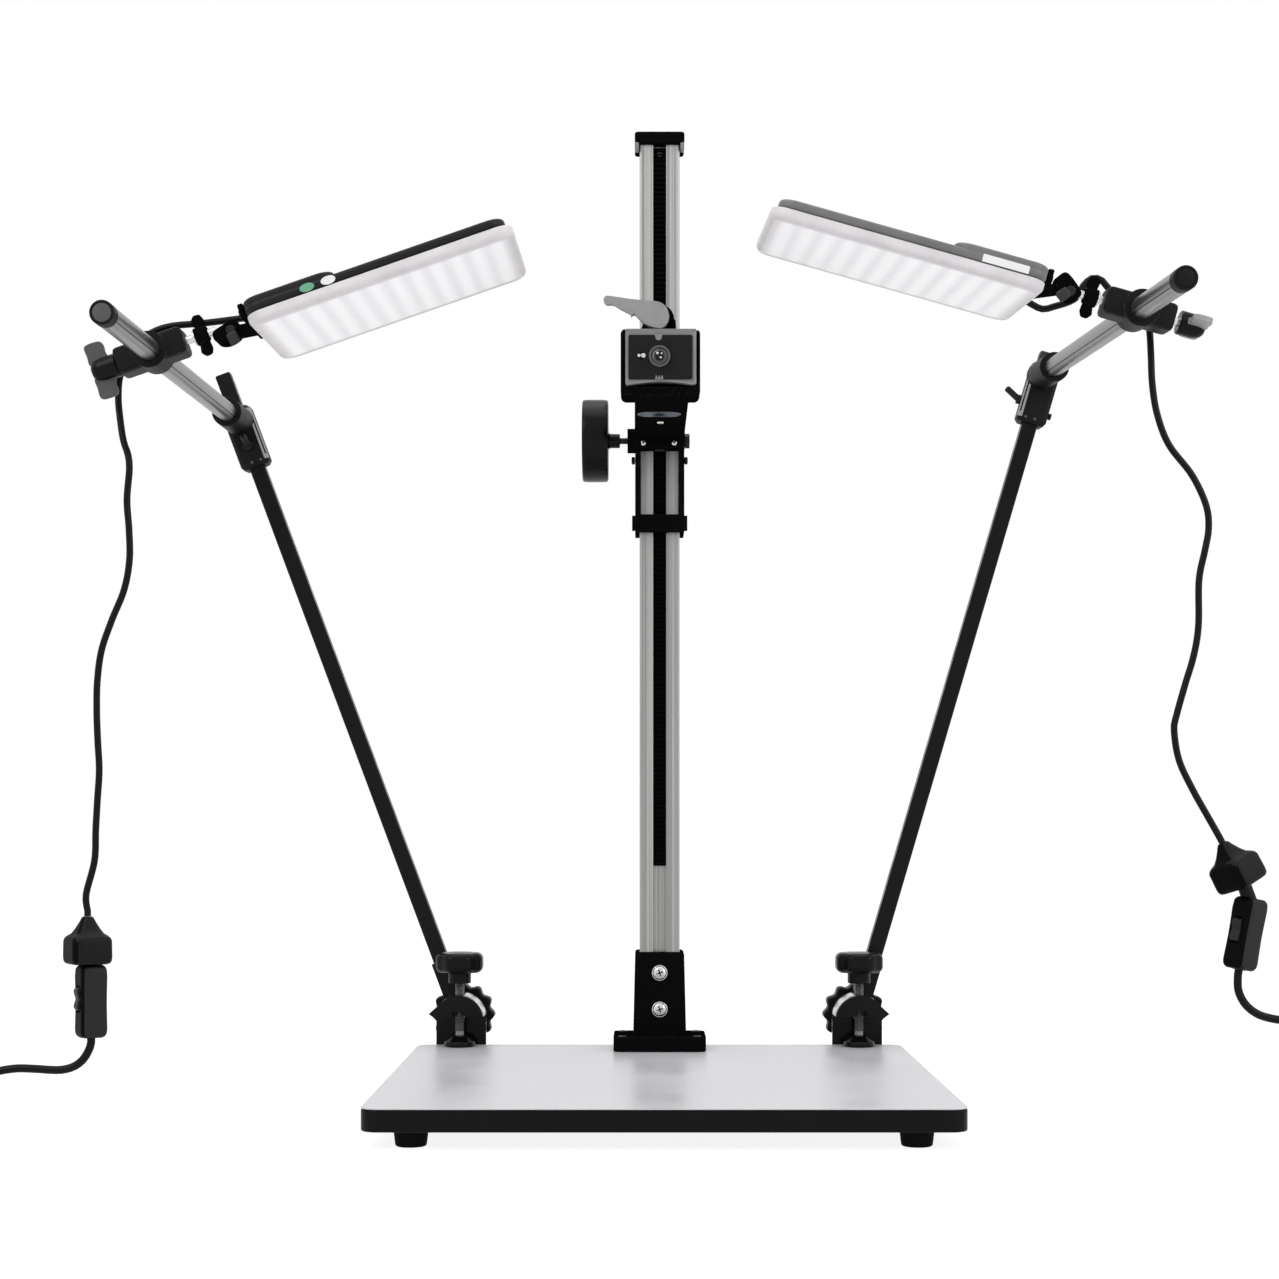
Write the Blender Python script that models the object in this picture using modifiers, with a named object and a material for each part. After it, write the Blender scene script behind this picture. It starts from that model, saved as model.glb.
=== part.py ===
"""Camera copy stand: a baseboard, a geared column with a camera arm, and two clamp-on lamps.

Metres, +Z up. The origin is the middle of the board's top face, and +Y points to the column.
"""

import math
from dataclasses import dataclass

import bmesh
import bpy
from mathutils import Matrix, Vector

# Clearances and facets
GAP = 0.0003  # between pieces that touch
RUNNING = 0.0003  # around a shaft in its bore
SLIDING = 0.0006  # between the carriage and the column
OVERLAP = 0.0008  # between shapes that are joined into one piece
STEP = 0.0003  # keeps joined faces apart
WELD = 0.00002
ROUND_STEPS = 32
FINE_STEPS = 48

# Board
BOARD_WIDTH = 0.4064
BOARD_DEPTH = 0.4064
BOARD_CORE = 0.0149
BOARD_CORNER = 0.012
LAMINATE = 0.0008
FOOT_RADIUS = 0.012
FOOT_TIP_RADIUS = 0.0105
FOOT_HEIGHT = 0.0117
FOOT_SIDE_INSET = 0.0325
FOOT_FRONT_INSET = 0.0232
FOOT_REAR_INSET = 0.056

# Column
COLUMN_SIDE = 0.033
COLUMN_WALL = 0.003
COLUMN_CORNER = 0.0015
COLUMN_TOP = 0.747
COLUMN_BACK_INSET = 0.0117  # from the board's back edge
SLOT_WIDTH = 0.0108
SLOT_DEPTH = 0.006
CAP_SIDE = 0.041
CAP_CORNER = 0.003
CAP_HEIGHT = 0.0097
CAP_TAB_DROP = 0.0042
CAP_TAB_DEPTH = 0.036
CAP_TAB_WALL = 0.0032

# Foot bracket of the column
FLANGE_WIDTH = 0.076
FLANGE_DEPTH = 0.061
FLANGE_THICKNESS = 0.0117
FLANGE_CORNER = 0.007
FLANGE_BACK_INSET = 0.0002
SOCKET_FOOT = 0.044
SOCKET_HEAD = 0.0404
SOCKET_TOP = 0.081

# Rack and pinion
MODULE = 0.00125
PINION_TEETH = 12
PINION_WIDTH = 0.008
ADDENDUM = 0.8 * MODULE
DEDENDUM = 1.04 * MODULE
BACKLASH = 0.00035
FLANK = math.radians(20)
RACK_WIDTH = 0.0102
RACK_TIP_DEPTH = 0.0005  # tooth tips behind the column's front face
TEETH_BELOW = 89
TEETH_ABOVE = 62

# Carriage
AXLE_Z = 0.5015
AXLE_RADIUS = 0.0025
PLATE_WALL = 0.0034
CARRIAGE_BOTTOM = 0.427
CARRIAGE_TOP = 0.532
CARRIAGE_BACK_WALL = 0.0044
SIDE_PLATE_REACH = 0.0085  # in front of the column
LOWER_BAR_HEIGHT = 0.014
LUG_REACH = 0.0022
LUG_DEPTH = 0.005
HEAD_BLOCK_BOTTOM = 0.494
HEAD_BLOCK_REACH = 0.0195  # in front of the column
PINION_ROOM = 0.0012  # around the pinion, in the carriage
BUSH_RADIUS = 0.010
BUSH_LENGTH = 0.006
NUT_RADIUS = 0.006
NUT_LENGTH = 0.0037

# Height knob
KNOB_RADIUS = 0.0335
KNOB_INNER_X = -0.0422
KNOB_LENGTH = 0.0212
KNOB_EDGE = 0.002
KNOB_HUB_RADIUS = 0.0058
KNOB_HUB_END = -0.0327
KNOB_GRIP = 0.004  # axle inside the hub

# Camera arm
ARM_WIDTH = 0.040
ARM_BOTTOM = 0.502
ARM_TOP = 0.528
ARM_FRONT = -0.018

# Quick release
RELEASE_WIDTH = 0.057
RELEASE_BOTTOM = 0.5022
RELEASE_TOP = 0.5522
RELEASE_FRONT = -0.046
PLATE_WIDTH = 0.052
PLATE_BOTTOM = 0.5097
PLATE_HEIGHT = 0.0413
PLATE_FRONT = -0.050
PLATE_BACK = -0.0413
PAD_WIDTH = 0.0467
PAD_HEIGHT = 0.033
PAD_THICKNESS = 0.0015
SCREW_X = -0.0018
SCREW_Z = 0.5307
SCREW_HEAD_RADIUS = 0.008
SCREW_HEAD_HEIGHT = 0.0018
SCREW_RADIUS = 0.00318
SCREW_STUD = 0.0045
SCREW_LENGTH = 0.0083
LEVER_X = -0.003
LEVER_Z = 0.5612
LEVER_RADIUS = 0.0096
LEVER_REACH = 0.0385
LEVER_RISE = 0.0113
LEVER_TIP_RADIUS = 0.0027
LEVER_ROOT_RISE = 0.0105
LEVER_THICKNESS = 0.0058
LEVER_PIN_RADIUS = 0.0025
BOSS_X = -0.0015
BOSS_RADIUS = 0.0105

# Clamp of a light stand
CLAMP_X = 0.1673
CLAMP_WIDTH = 0.042
SPINDLE_INSET = 0.0152  # from the board's back edge
JAW_REACH = 0.0332  # below the board
JAW_THICKNESS = 0.008
WEB_THICKNESS = 0.0045
PIVOT_Z = 0.023
DOME_REACH = 0.0292  # above the board
DOME_BOTTOM = 0.026
PRESSURE_PAD_RADIUS = 0.013
PRESSURE_PAD_HEIGHT = 0.0087
SPINDLE_RADIUS = 0.004
SPINDLE_NECK_Z = 0.053
SPINDLE_NECK_RADIUS = 0.0095
SPINDLE_KNOB_Z = 0.062
SPINDLE_KNOB_TOP = 0.080
SPINDLE_KNOB_RADIUS = 0.0205
SPINDLE_KNOB_LOBES = 8
SPINDLE_KNOB_LOBE_DEPTH = 0.0012
STUD_RADIUS = 0.003
STAR_RADIUS = 0.028
STAR_LOBES = 12
STAR_LOBE_DEPTH = 0.0032
STAR_THICKNESS = 0.018

# Arm, elbow, rod and rod clamp of a light stand
HUB_RADIUS = 0.0205
HUB_THICKNESS = 0.0154
TUBE_SIDE = 0.013
TUBE_LENGTH = 0.5815
SLEEVE_SIDE = 0.017
SLEEVE_LENGTH = 0.050
WEDGE_REACH = 0.028
ELBOW_WIDTH = 0.025
ELBOW_DEPTH = 0.022
ELBOW_BELOW = 0.0405
ELBOW_ABOVE = 0.012
RING_RADIUS = 0.0122
RING_OFFSET = 0.0245  # in front of the arm's axis
RING_FRONT = 0.0365  # rim in front of the ring's reference point
ROD_RADIUS = 0.008
ROD_LENGTH = 0.440
ROD_SEAT = 0.0085  # rod behind the middle of its ring
HANDLE_Z = -0.022
HANDLE_RADIUS = 0.0027
HANDLE_LENGTH = 0.0145
HANDLE_HUB_RADIUS = 0.004
HANDLE_HUB_LENGTH = 0.0035
HANDLE_ANGLE = 27
BOLT_HEAD_Z = -0.029
BOLT_HEAD_RADIUS = 0.0027
BOLT_HEAD_LENGTH = 0.0035
CLAMP_LENGTH = 0.051
CLAMP_DEPTH = 0.024
CLAMP_HEIGHT = 0.0195
CLAMP_BOSS_RADIUS = 0.013
CLAMP_BOSS_LENGTH = 0.027
STUD_DEPTH = 0.0145  # of a stud inside the clamp
WING_HUB_RADIUS = 0.0085
WING_HUB_LENGTH = 0.012
WING_START = 0.006  # wings outside the hub's inner end
WING_LENGTH = 0.014
WING_SPAN = 0.041
WING_THICKNESS = 0.004

# Lamp, seen from the middle of its rod clamp: inwards, back and up
LAMP_LENGTH = 0.1915
LAMP_DEPTH = 0.137
LAMP_CORNER = 0.012
TRAY_TOP = -0.0131
TRAY_THICKNESS = 0.0078
HOUSING_THICKNESS = 0.0063
HOUSING_INSET = 0.004  # at the inner end
HUMP_LENGTH = 0.066
HUMP_RISE = 0.0041
GLAND_RADIUS = 0.0042
GLAND_LENGTH = 0.006
RISER_LENGTH = 0.012
RISER_WIDTH = 0.012
RISER_WALL = 0.005
NUT_HUB_LENGTH = 0.010
NUT_HUB_RADIUS = 0.0065
NUT_WING_SPAN = 0.030
NUT_WING_THICKNESS = 0.005
KNUCKLE_LENGTH = 0.020
KNUCKLE_DEPTH = 0.018
KNUCKLE_HEIGHT = 0.013
KNUCKLE_STUD_END = 0.048
STRAP_THICKNESS = 0.004
STRAP_HEIGHT = 0.011
STRAP_REACH = 0.082
TONGUE_DEPTH = 0.012
TONGUE_HEIGHT = 0.008

# Cords
CORD_INSET = 0.2872  # from the board's back edge
CORD_RADIUS = 0.0025
CORD_SPACING = 0.0115
LEAD_RADIUS = 0.003
LEAD_SPACING = 0.008
PLUG_TOP_SIDE = 0.0075
PLUG_TENT_SIDE = 0.0190
PLUG_TENT_HEIGHT = 0.0135
PLUG_WIDTH = 0.0295
PLUG_DEPTH = 0.0310
PLUG_LENGTH = 0.034
PLUG_CORNER = 0.0045
PLUG_YAW = 32
SWITCH_WIDTH = 0.0198
SWITCH_DEPTH = 0.0195
SWITCH_LENGTH = 0.0518
SWITCH_NECK_RADIUS = 0.005
ROCKER_LENGTH = 0.017
ROCKER_WIDTH = 0.008
ROCKER_RISE = 0.002
ROCKER_SINK = 0.002
ROCKER_DROP = 0.024  # middle of the rocker below the switch's top
ROCKER_ROOM = 0.0012
COIL_INNER = 0.024
COIL_OUTER = 0.042
COIL_HEIGHT = 0.013
COIL_X = 0.575
COIL_OFFSET = 0.034  # in front of the cords
MAINS_WIDTH = 0.024
MAINS_HEIGHT = 0.018
MAINS_LENGTH = 0.026
RELIEF_LENGTH = 0.014
RELIEF_RADIUS = 0.0042
BLADE_LENGTH = 0.017
BLADE_WIDTH = 0.0063
BLADE_THICKNESS = 0.0015
BLADE_SPACING = 0.0127

# Levels and places that follow from the sizes above
CORE_TOP = -LAMINATE - GAP
CORE_BOTTOM = CORE_TOP - BOARD_CORE
GROUND_Z = CORE_BOTTOM - GAP - FOOT_HEIGHT
BOARD_BACK = BOARD_DEPTH / 2
COLUMN_Y = BOARD_BACK - COLUMN_BACK_INSET - COLUMN_SIDE / 2
COLUMN_FRONT = COLUMN_Y - COLUMN_SIDE / 2
SIDE_PLATE_FRONT = COLUMN_FRONT - SIDE_PLATE_REACH
HEAD_BLOCK_FRONT = COLUMN_FRONT - HEAD_BLOCK_REACH
SPINDLE_Y = BOARD_BACK - SPINDLE_INSET
JAW_FRONT = BOARD_BACK - JAW_REACH
DOME_FRONT = BOARD_BACK - DOME_REACH
CORD_Y = BOARD_BACK - CORD_INSET
COIL_Y = CORD_Y - COIL_OFFSET
PITCH = math.pi * MODULE
PITCH_RADIUS = PINION_TEETH * MODULE / 2
AXLE_Y = COLUMN_FRONT + RACK_TIP_DEPTH + ADDENDUM - PITCH_RADIUS
BORE_HALF = COLUMN_SIDE / 2 + SLIDING
CARRIAGE_HALF = BORE_HALF + PLATE_WALL
WEB_FRONT = BOARD_BACK + GAP
WEB_BACK = WEB_FRONT + WEB_THICKNESS
HUB_FRONT = WEB_BACK + GAP
HUB_BACK = HUB_FRONT + HUB_THICKNESS
ARM_Y = (HUB_FRONT + HUB_BACK) / 2
RING_Y = ARM_Y - RING_OFFSET
PLATE_MIDDLE = PLATE_BOTTOM + PLATE_HEIGHT / 2
SPINDLE_HOLE = SPINDLE_RADIUS + RUNNING
STUD_HOLE = STUD_RADIUS + RUNNING
ROD_HOLE = ROD_RADIUS + RUNNING

WORLD = Matrix.Identity(4)
# Local X up and Y to the front
RACK_AXES = Matrix(((0, 0, 1, 0), (0, -1, 0, 0), (1, 0, 0, 0), (0, 0, 0, 1)))
# Local Y up and Z to the front
UPRIGHT_AXES = Matrix(((1, 0, 0, 0), (0, 0, -1, 0), (0, 1, 0, 0), (0, 0, 0, 1)))

BLACK_CAST = ((0.012, 0.012, 0.013), 0.45, 0.0)
BLACK_PLASTIC = ((0.015, 0.015, 0.016), 0.5, 0.0)
BLACK_PAINT = ((0.014, 0.014, 0.015), 0.38, 0.2)
BOARD_BLACK = ((0.010, 0.010, 0.010), 0.6, 0.0)
PALE_LAMINATE = ((0.62, 0.61, 0.63), 0.35, 0.0)
DARK_RUBBER = ((0.02, 0.02, 0.02), 0.8, 0.0)
ANODISED = ((0.62, 0.62, 0.61), 0.35, 0.9)
STEEL = ((0.6, 0.6, 0.6), 0.25, 1.0)
SATIN_ROD = ((0.42, 0.42, 0.42), 0.3, 1.0)
LEVER_GREY = ((0.28, 0.28, 0.28), 0.45, 0.3)
DIFFUSER = ((0.85, 0.83, 0.85), 0.4, 0.0)


@dataclass(frozen=True)
class Stand:
    """What differs between the two light stands. Angles are in degrees, and the sizes that begin
    with lamp run inwards and back from the middle of the rod clamp. Cords run beside the plane CORD_Y."""

    name: str
    side: int
    lean: float
    elbow_at: float
    rod_inset: float  # rod axis inwards of the arm axis
    splay: float
    droop: float
    clamp_at: float
    lamp_tilt: float
    lamp_roll: float
    lamp_start: float
    lamp_shift: float
    handle_turn: float
    handle_seat: float
    wing_turn: float
    wing_gap: float
    nut_start: float
    bracket_at: tuple  # inwards and up
    bracket_turn: float
    gland: tuple
    gland_aim: tuple
    cord_route: tuple
    plug_top: tuple
    plug_tilt: float
    switch_top: tuple
    switch_tilt: float
    lead_route: tuple


LEFT = Stand(
    name="left",
    side=-1,
    lean=20.46,
    elbow_at=0.5378,
    rod_inset=-0.0006,
    splay=1.27,
    droop=0.69,
    clamp_at=0.2925,
    lamp_tilt=18.8,
    lamp_roll=0.0,
    lamp_start=0.0787,
    lamp_shift=0.0005,
    handle_turn=-90.0,
    handle_seat=ELBOW_DEPTH / 2,
    wing_turn=0.0,
    wing_gap=GAP,
    nut_start=0.0325,
    bracket_at=(0.0555, -0.0052),
    bracket_turn=10.0,
    gland=(0.0745, 0.017, 0.0045),
    gland_aim=(-1.0, 0.0, 0.28),
    cord_route=(
        (-0.3276, 0.0, 0.5479),
        (-0.3548, 0.0, 0.5457),
        (-0.3712, 0.0, 0.5396),
        (-0.3821, 0.0, 0.5285),
        (-0.3907, 0.0, 0.5120),
        (-0.3921, 0.0, 0.4955),
        (-0.3903, 0.0, 0.4797),
        (-0.3874, 0.0, 0.4639),
        (-0.3837, 0.0, 0.4532),
        (-0.3826, 0.0, 0.4424),
        (-0.3843, 0.0, 0.4209),
        (-0.3828, 0.0, 0.3994),
        (-0.3825, 0.0, 0.3778),
        (-0.3864, 0.0, 0.3563),
        (-0.3951, 0.0, 0.3348),
        (-0.4025, 0.0, 0.3132),
        (-0.4055, 0.0, 0.2917),
        (-0.4060, 0.0, 0.2702),
        (-0.4053, 0.0, 0.2487),
        (-0.4042, 0.0, 0.2271),
        (-0.4055, 0.0, 0.2056),
        (-0.4067, 0.0, 0.1841),
        (-0.4075, 0.0, 0.1625),
        (-0.4130, 0.0, 0.1410),
        (-0.4148, 0.0, 0.1330),
    ),
    plug_top=(-0.4125, 0.0, 0.1220),
    plug_tilt=0.0,
    switch_top=(-0.4100, 0.0, 0.0872),
    switch_tilt=0.0,
    lead_route=(
        (-0.4135, 0.0, 0.0262),
        (-0.4210, 0.0, 0.0227),
        (-0.4311, 0.0, 0.0215),
        (-0.4453, 0.0, 0.0218),
        (-0.4640, 0.0, 0.0213),
        (-0.4850, 0.0, 0.0150),
        (-0.5030, 0.0, 0.0010),
        (-0.5180, 0.0, -0.0140),
        (-0.5320, -0.001, -0.0208),
    ),
)

RIGHT = Stand(
    name="right",
    side=1,
    lean=16.34,
    elbow_at=0.5641,
    rod_inset=0.002,
    splay=1.86,
    droop=2.78,
    clamp_at=0.3065,
    lamp_tilt=15.05,
    lamp_roll=0.8,
    lamp_start=0.0781,
    lamp_shift=-0.006,
    handle_turn=0.0,
    handle_seat=ELBOW_WIDTH / 2,
    wing_turn=82.0,
    wing_gap=0.0045,
    nut_start=0.0300,
    bracket_at=(0.0528, 0.0017),
    bracket_turn=40.0,
    gland=(0.0761, 0.031, -0.0078),
    gland_aim=(-1.0, 0.0, -0.12),
    cord_route=(
        (0.2722, 0.0, 0.5579),
        (0.2823, 0.0, 0.5601),
        (0.2916, 0.0, 0.5630),
        (0.2995, 0.0, 0.5650),
        (0.3045, 0.0, 0.5712),
        (0.3074, 0.0, 0.5794),
        (0.3110, 0.0, 0.5812),
        (0.3148, 0.0, 0.5776),
        (0.3195, 0.0, 0.5700),
        (0.3260, 0.0, 0.5650),
        (0.3335, 0.0, 0.5632),
        (0.3410, 0.0, 0.5603),
        (0.3465, 0.0, 0.5535),
        (0.3493, 0.0, 0.5428),
        (0.3504, 0.0, 0.5249),
        (0.3514, 0.0, 0.5034),
        (0.3550, 0.0, 0.4819),
        (0.3633, 0.0, 0.4604),
        (0.3798, 0.0, 0.4388),
        (0.3899, 0.0, 0.4173),
        (0.3918, 0.0, 0.4008),
        (0.3892, 0.0, 0.3850),
        (0.3849, 0.0, 0.3635),
        (0.3845, 0.0, 0.3312),
        (0.3812, 0.0, 0.3097),
        (0.3748, 0.0, 0.2881),
        (0.3688, 0.0, 0.2666),
        (0.3670, 0.0, 0.2558),
        (0.3705, 0.0, 0.2343),
        (0.3805, 0.0, 0.2128),
        (0.3915, 0.0, 0.1932),
    ),
    plug_top=(0.4017, 0.0, 0.1748),
    plug_tilt=-27.0,
    switch_top=(0.4227, 0.0, 0.1352),
    switch_tilt=10.2,
    lead_route=(
        (0.4128, 0.0, 0.0725),
        (0.4140, 0.0, 0.0650),
        (0.4200, 0.0, 0.0590),
        (0.4310, 0.0, 0.0555),
        (0.4470, 0.0, 0.0530),
        (0.4660, 0.0, 0.0450),
        (0.4840, 0.0, 0.0290),
        (0.5000, 0.0, 0.0090),
        (0.5160, 0.0, -0.0110),
        (0.5310, -0.001, -0.0205),
    ),
)


def at(x, y, z):
    """A frame moved to a point."""
    return Matrix.Translation((x, y, z))


def turned_frame(degrees, axis):
    """A frame turned about one of its axes."""
    return Matrix.Rotation(math.radians(degrees), 4, axis)


def clear_scene():
    """Remove every object that the file starts with."""
    for obj in list(bpy.data.objects):
        bpy.data.objects.remove(obj, do_unlink=True)


def new_collection(name):
    """A collection of the scene."""
    made = bpy.data.collections.new(name)
    bpy.context.scene.collection.children.link(made)
    return made


clear_scene()
PARTS = new_collection("camera_copy_stand")
CUTTERS = new_collection("cutters")


def new_object(name, data, place):
    """An object of the parts collection, standing in the frame `place`."""
    obj = bpy.data.objects.new(name, data)
    PARTS.objects.link(obj)
    obj.matrix_basis = place
    return obj


def hang(child, parent):
    """Parent an object and leave it where it stands."""
    child.parent = parent
    child.matrix_parent_inverse = parent.matrix_basis.inverted()


def carrier(name, place, parent=None):
    """An empty on a joint's axis, which carries what moves with the joint."""
    empty = new_object(name, None, place)
    empty.empty_display_size = 0.02
    if parent:
        hang(empty, parent)
    return empty


def mesh_object(name, bm, place):
    """An object made of a bmesh."""
    mesh = bpy.data.meshes.new(name)
    bm.to_mesh(mesh)
    bm.free()
    return new_object(name, mesh, place)


def block(name, low, high, place=WORLD):
    """A box between two corners."""
    low, high = Vector(low), Vector(high)
    size = Matrix.Diagonal((high - low).to_4d())
    bm = bmesh.new()
    bmesh.ops.create_cube(bm, size=1.0, matrix=Matrix.Translation((low + high) / 2) @ size)
    return mesh_object(name, bm, place)


def cone(name, start, end, radius, end_radius, place=WORLD, steps=ROUND_STEPS, turn=0.0):
    """A round or many-sided cone between two points."""
    start, end = Vector(start), Vector(end)
    axis = end - start
    aim = axis.to_track_quat("Z", "Y").to_matrix().to_4x4() @ turned_frame(turn, "Z")
    bm = bmesh.new()
    bmesh.ops.create_cone(
        bm,
        cap_ends=True,
        segments=steps,
        radius1=radius,
        radius2=end_radius,
        depth=axis.length,
        matrix=Matrix.Translation((start + end) / 2) @ aim,
    )
    return mesh_object(name, bm, place)


def cylinder(name, start, end, radius, place=WORLD, steps=ROUND_STEPS):
    """A cylinder between two points."""
    return cone(name, start, end, radius, radius, place, steps)


def square_cone(name, start, end, side, end_side, place=WORLD):
    """A square pyramid stump between two points."""
    return cone(name, start, end, side / math.sqrt(2), end_side / math.sqrt(2), place, 4, 45.0)


def turned(name, profile, place=WORLD, steps=ROUND_STEPS):
    """A profile of (radius, height) points turned about local Z, its outer side from top to bottom."""
    mesh = bpy.data.meshes.new(name)
    points = [(radius, 0.0, height) for radius, height in profile]
    mesh.from_pydata(points, [(n, n + 1) for n in range(len(points) - 1)], [])
    obj = new_object(name, mesh, place)
    screw = obj.modifiers.new("turned", "SCREW")
    screw.steps = steps
    screw.render_steps = steps
    screw.use_merge_vertices = True
    screw.merge_threshold = WELD
    return obj


def as_mesh(obj):
    """A curve made a mesh with welded caps, so that it can be cut and joined."""
    bpy.context.view_layer.update()
    graph = bpy.context.evaluated_depsgraph_get()
    mesh = bpy.data.meshes.new_from_object(obj.evaluated_get(graph))
    bm = bmesh.new()
    bm.from_mesh(mesh)
    bmesh.ops.remove_doubles(bm, verts=bm.verts, dist=WELD)
    bmesh.ops.recalc_face_normals(bm, faces=bm.faces)
    bm.to_mesh(mesh)
    bm.free()
    name, place = obj.name, obj.matrix_basis.copy()
    bpy.data.objects.remove(obj, do_unlink=True)
    return new_object(name, mesh, place)


def slab(name, outlines, thickness, place=WORLD):
    """A plate centred on local XY. Outlines after the first are holes."""
    curve = bpy.data.curves.new(name, "CURVE")
    curve.dimensions = "2D"
    curve.fill_mode = "BOTH"
    curve.extrude = thickness / 2
    for outline in outlines:
        spline = curve.splines.new("POLY")
        spline.points.add(len(outline) - 1)
        for point, (x, y) in zip(spline.points, outline):
            point.co = (x, y, 0.0, 1.0)
        spline.use_cyclic_u = True
    return as_mesh(new_object(name, curve, place))


def tube(name, points, radius, sides=3):
    """A round bar or cord through world points."""
    curve = bpy.data.curves.new(name, "CURVE")
    curve.dimensions = "3D"
    curve.bevel_depth = radius
    curve.bevel_resolution = sides
    curve.use_fill_caps = True
    spline = curve.splines.new("POLY")
    spline.points.add(len(points) - 1)
    for point, place in zip(spline.points, points):
        point.co = (*place, 1.0)
    return new_object(name, curve, WORLD)


def smooth_route(points, spacing):
    """Evenly spaced points on a smooth curve through the chosen points, with straight end legs."""
    points = [Vector(point) for point in points]
    fine = [points[1]]
    for a, b, c, d in zip(points, points[1:], points[2:], points[3:]):
        for step in range(1, 21):
            t = step / 20
            bend = (2 * a - 5 * b + 4 * c - d) * t**2 + (3 * b - a - 3 * c + d) * t**3
            fine.append((2 * b + (c - a) * t + bend) / 2)
    run = [0.0]
    for first, second in zip(fine, fine[1:]):
        run.append(run[-1] + (second - first).length)
    count = max(2, round(run[-1] / spacing))
    route = [points[0]]
    index = 0
    for n in range(count + 1):
        wanted = run[-1] * n / count
        while index < len(run) - 2 and run[index + 1] < wanted:
            index += 1
        share = (wanted - run[index]) / (run[index + 1] - run[index])
        route.append(fine[index].lerp(fine[index + 1], min(share, 1.0)))
    return route + [points[-1]]


def boolean(obj, other, operation):
    """Join, cut or cross an object with another, which becomes its hidden helper."""
    modifier = obj.modifiers.new(other.name, "BOOLEAN")
    modifier.operation = operation
    modifier.object = other
    PARTS.objects.unlink(other)
    CUTTERS.objects.link(other)
    other.hide_render = True
    other.display_type = "WIRE"
    hang(other, obj)


def join(obj, *others):
    """Join shapes into one piece."""
    for other in others:
        boolean(obj, other, "UNION")


def cut(obj, *others):
    """Cut shapes out of a piece."""
    for other in others:
        boolean(obj, other, "DIFFERENCE")


def soften(obj, width, segments=2):
    """Round the sharp edges."""
    bevel = obj.modifiers.new("edges", "BEVEL")
    bevel.width = width
    bevel.segments = segments
    bevel.limit_method = "ANGLE"
    bevel.angle_limit = math.radians(40)


def finish(obj, look, parent=None):
    """Give a piece its own material and its carrier, and shade it smooth."""
    colour, roughness, metallic = look
    material = bpy.data.materials.new(obj.name)
    material.use_nodes = True
    surface = material.node_tree.nodes["Principled BSDF"]
    surface.inputs["Base Color"].default_value = (*colour, 1.0)
    surface.inputs["Roughness"].default_value = roughness
    surface.inputs["Metallic"].default_value = metallic
    material.diffuse_color = (*colour, 1.0)
    obj.data.materials.append(material)
    if obj.type == "MESH" and obj.data.polygons:
        obj.data.shade_smooth()
        obj.data.set_sharp_from_angle(angle=math.radians(35))
    if parent:
        hang(obj, parent)
    return obj


def arc(radius, start, end, steps, centre=(0.0, 0.0)):
    """Points of an arc, with its angles in degrees."""
    points = []
    for step in range(steps + 1):
        angle = math.radians(start + (end - start) * step / steps)
        points.append((centre[0] + radius * math.cos(angle), centre[1] + radius * math.sin(angle)))
    return points


def rounded_rectangle(width, depth, radius, steps=5, centre=(0.0, 0.0)):
    """A rectangle with round corners."""
    points = []
    for quarter, (x, y) in enumerate(((1, 1), (-1, 1), (-1, -1), (1, -1))):
        middle = (centre[0] + x * (width / 2 - radius), centre[1] + y * (depth / 2 - radius))
        points += arc(radius, 90 * quarter, 90 * quarter + 90, steps, middle)
    return points


def lobed(radius, lobes, depth, steps=6):
    """A round outline with shallow lobes."""
    points = []
    for step in range(lobes * steps):
        angle = math.tau * step / (lobes * steps)
        reach = radius - depth * (1 - math.cos(lobes * angle)) / 2
        points.append((reach * math.cos(angle), reach * math.sin(angle)))
    return points


def make_board():
    """The board's core, its laminate top and its four feet."""
    outline = rounded_rectangle(BOARD_WIDTH, BOARD_DEPTH, BOARD_CORNER)
    core = slab("baseboard", [outline], BOARD_CORE, at(0, 0, CORE_TOP - BOARD_CORE / 2))
    finish(core, BOARD_BLACK)
    finish(slab("board_laminate", [outline], LAMINATE, at(0, 0, -LAMINATE / 2)), PALE_LAMINATE)
    foot_x = BOARD_WIDTH / 2 - FOOT_SIDE_INSET
    rows = {
        "front": FOOT_FRONT_INSET - BOARD_DEPTH / 2,
        "rear": BOARD_DEPTH / 2 - FOOT_REAR_INSET,
    }
    profile = [(0, FOOT_HEIGHT), (FOOT_RADIUS, FOOT_HEIGHT), (FOOT_TIP_RADIUS, 0), (0, 0)]
    for row, y in rows.items():
        for column, x in (("left", -foot_x), ("right", foot_x)):
            finish(turned(f"foot_{row}_{column}", profile, at(x, y, GROUND_Z), 24), DARK_RUBBER)


def make_column_bracket():
    """The cast foot that holds the column on the board."""
    flange_y = BOARD_BACK - FLANGE_BACK_INSET - FLANGE_DEPTH / 2
    outline = rounded_rectangle(FLANGE_WIDTH, FLANGE_DEPTH, FLANGE_CORNER)
    level = at(0, flange_y, GAP + FLANGE_THICKNESS / 2)
    bracket = slab("column_bracket", [outline], FLANGE_THICKNESS, level)
    soften(bracket, 0.0015, 1)
    socket = square_cone(
        "bracket_socket",
        (0, COLUMN_Y, FLANGE_THICKNESS / 2),
        (0, COLUMN_Y, SOCKET_TOP),
        SOCKET_FOOT,
        SOCKET_HEAD,
    )
    soften(socket, 0.002, 2)
    join(bracket, socket)
    half = COLUMN_SIDE / 2 + GAP
    pocket = block(
        "bracket_pocket",
        (-half, COLUMN_Y - half, -0.01),
        (half, COLUMN_Y + half, SOCKET_TOP + 0.01),
    )
    cut(bracket, pocket)
    finish(bracket, BLACK_CAST)


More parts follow.
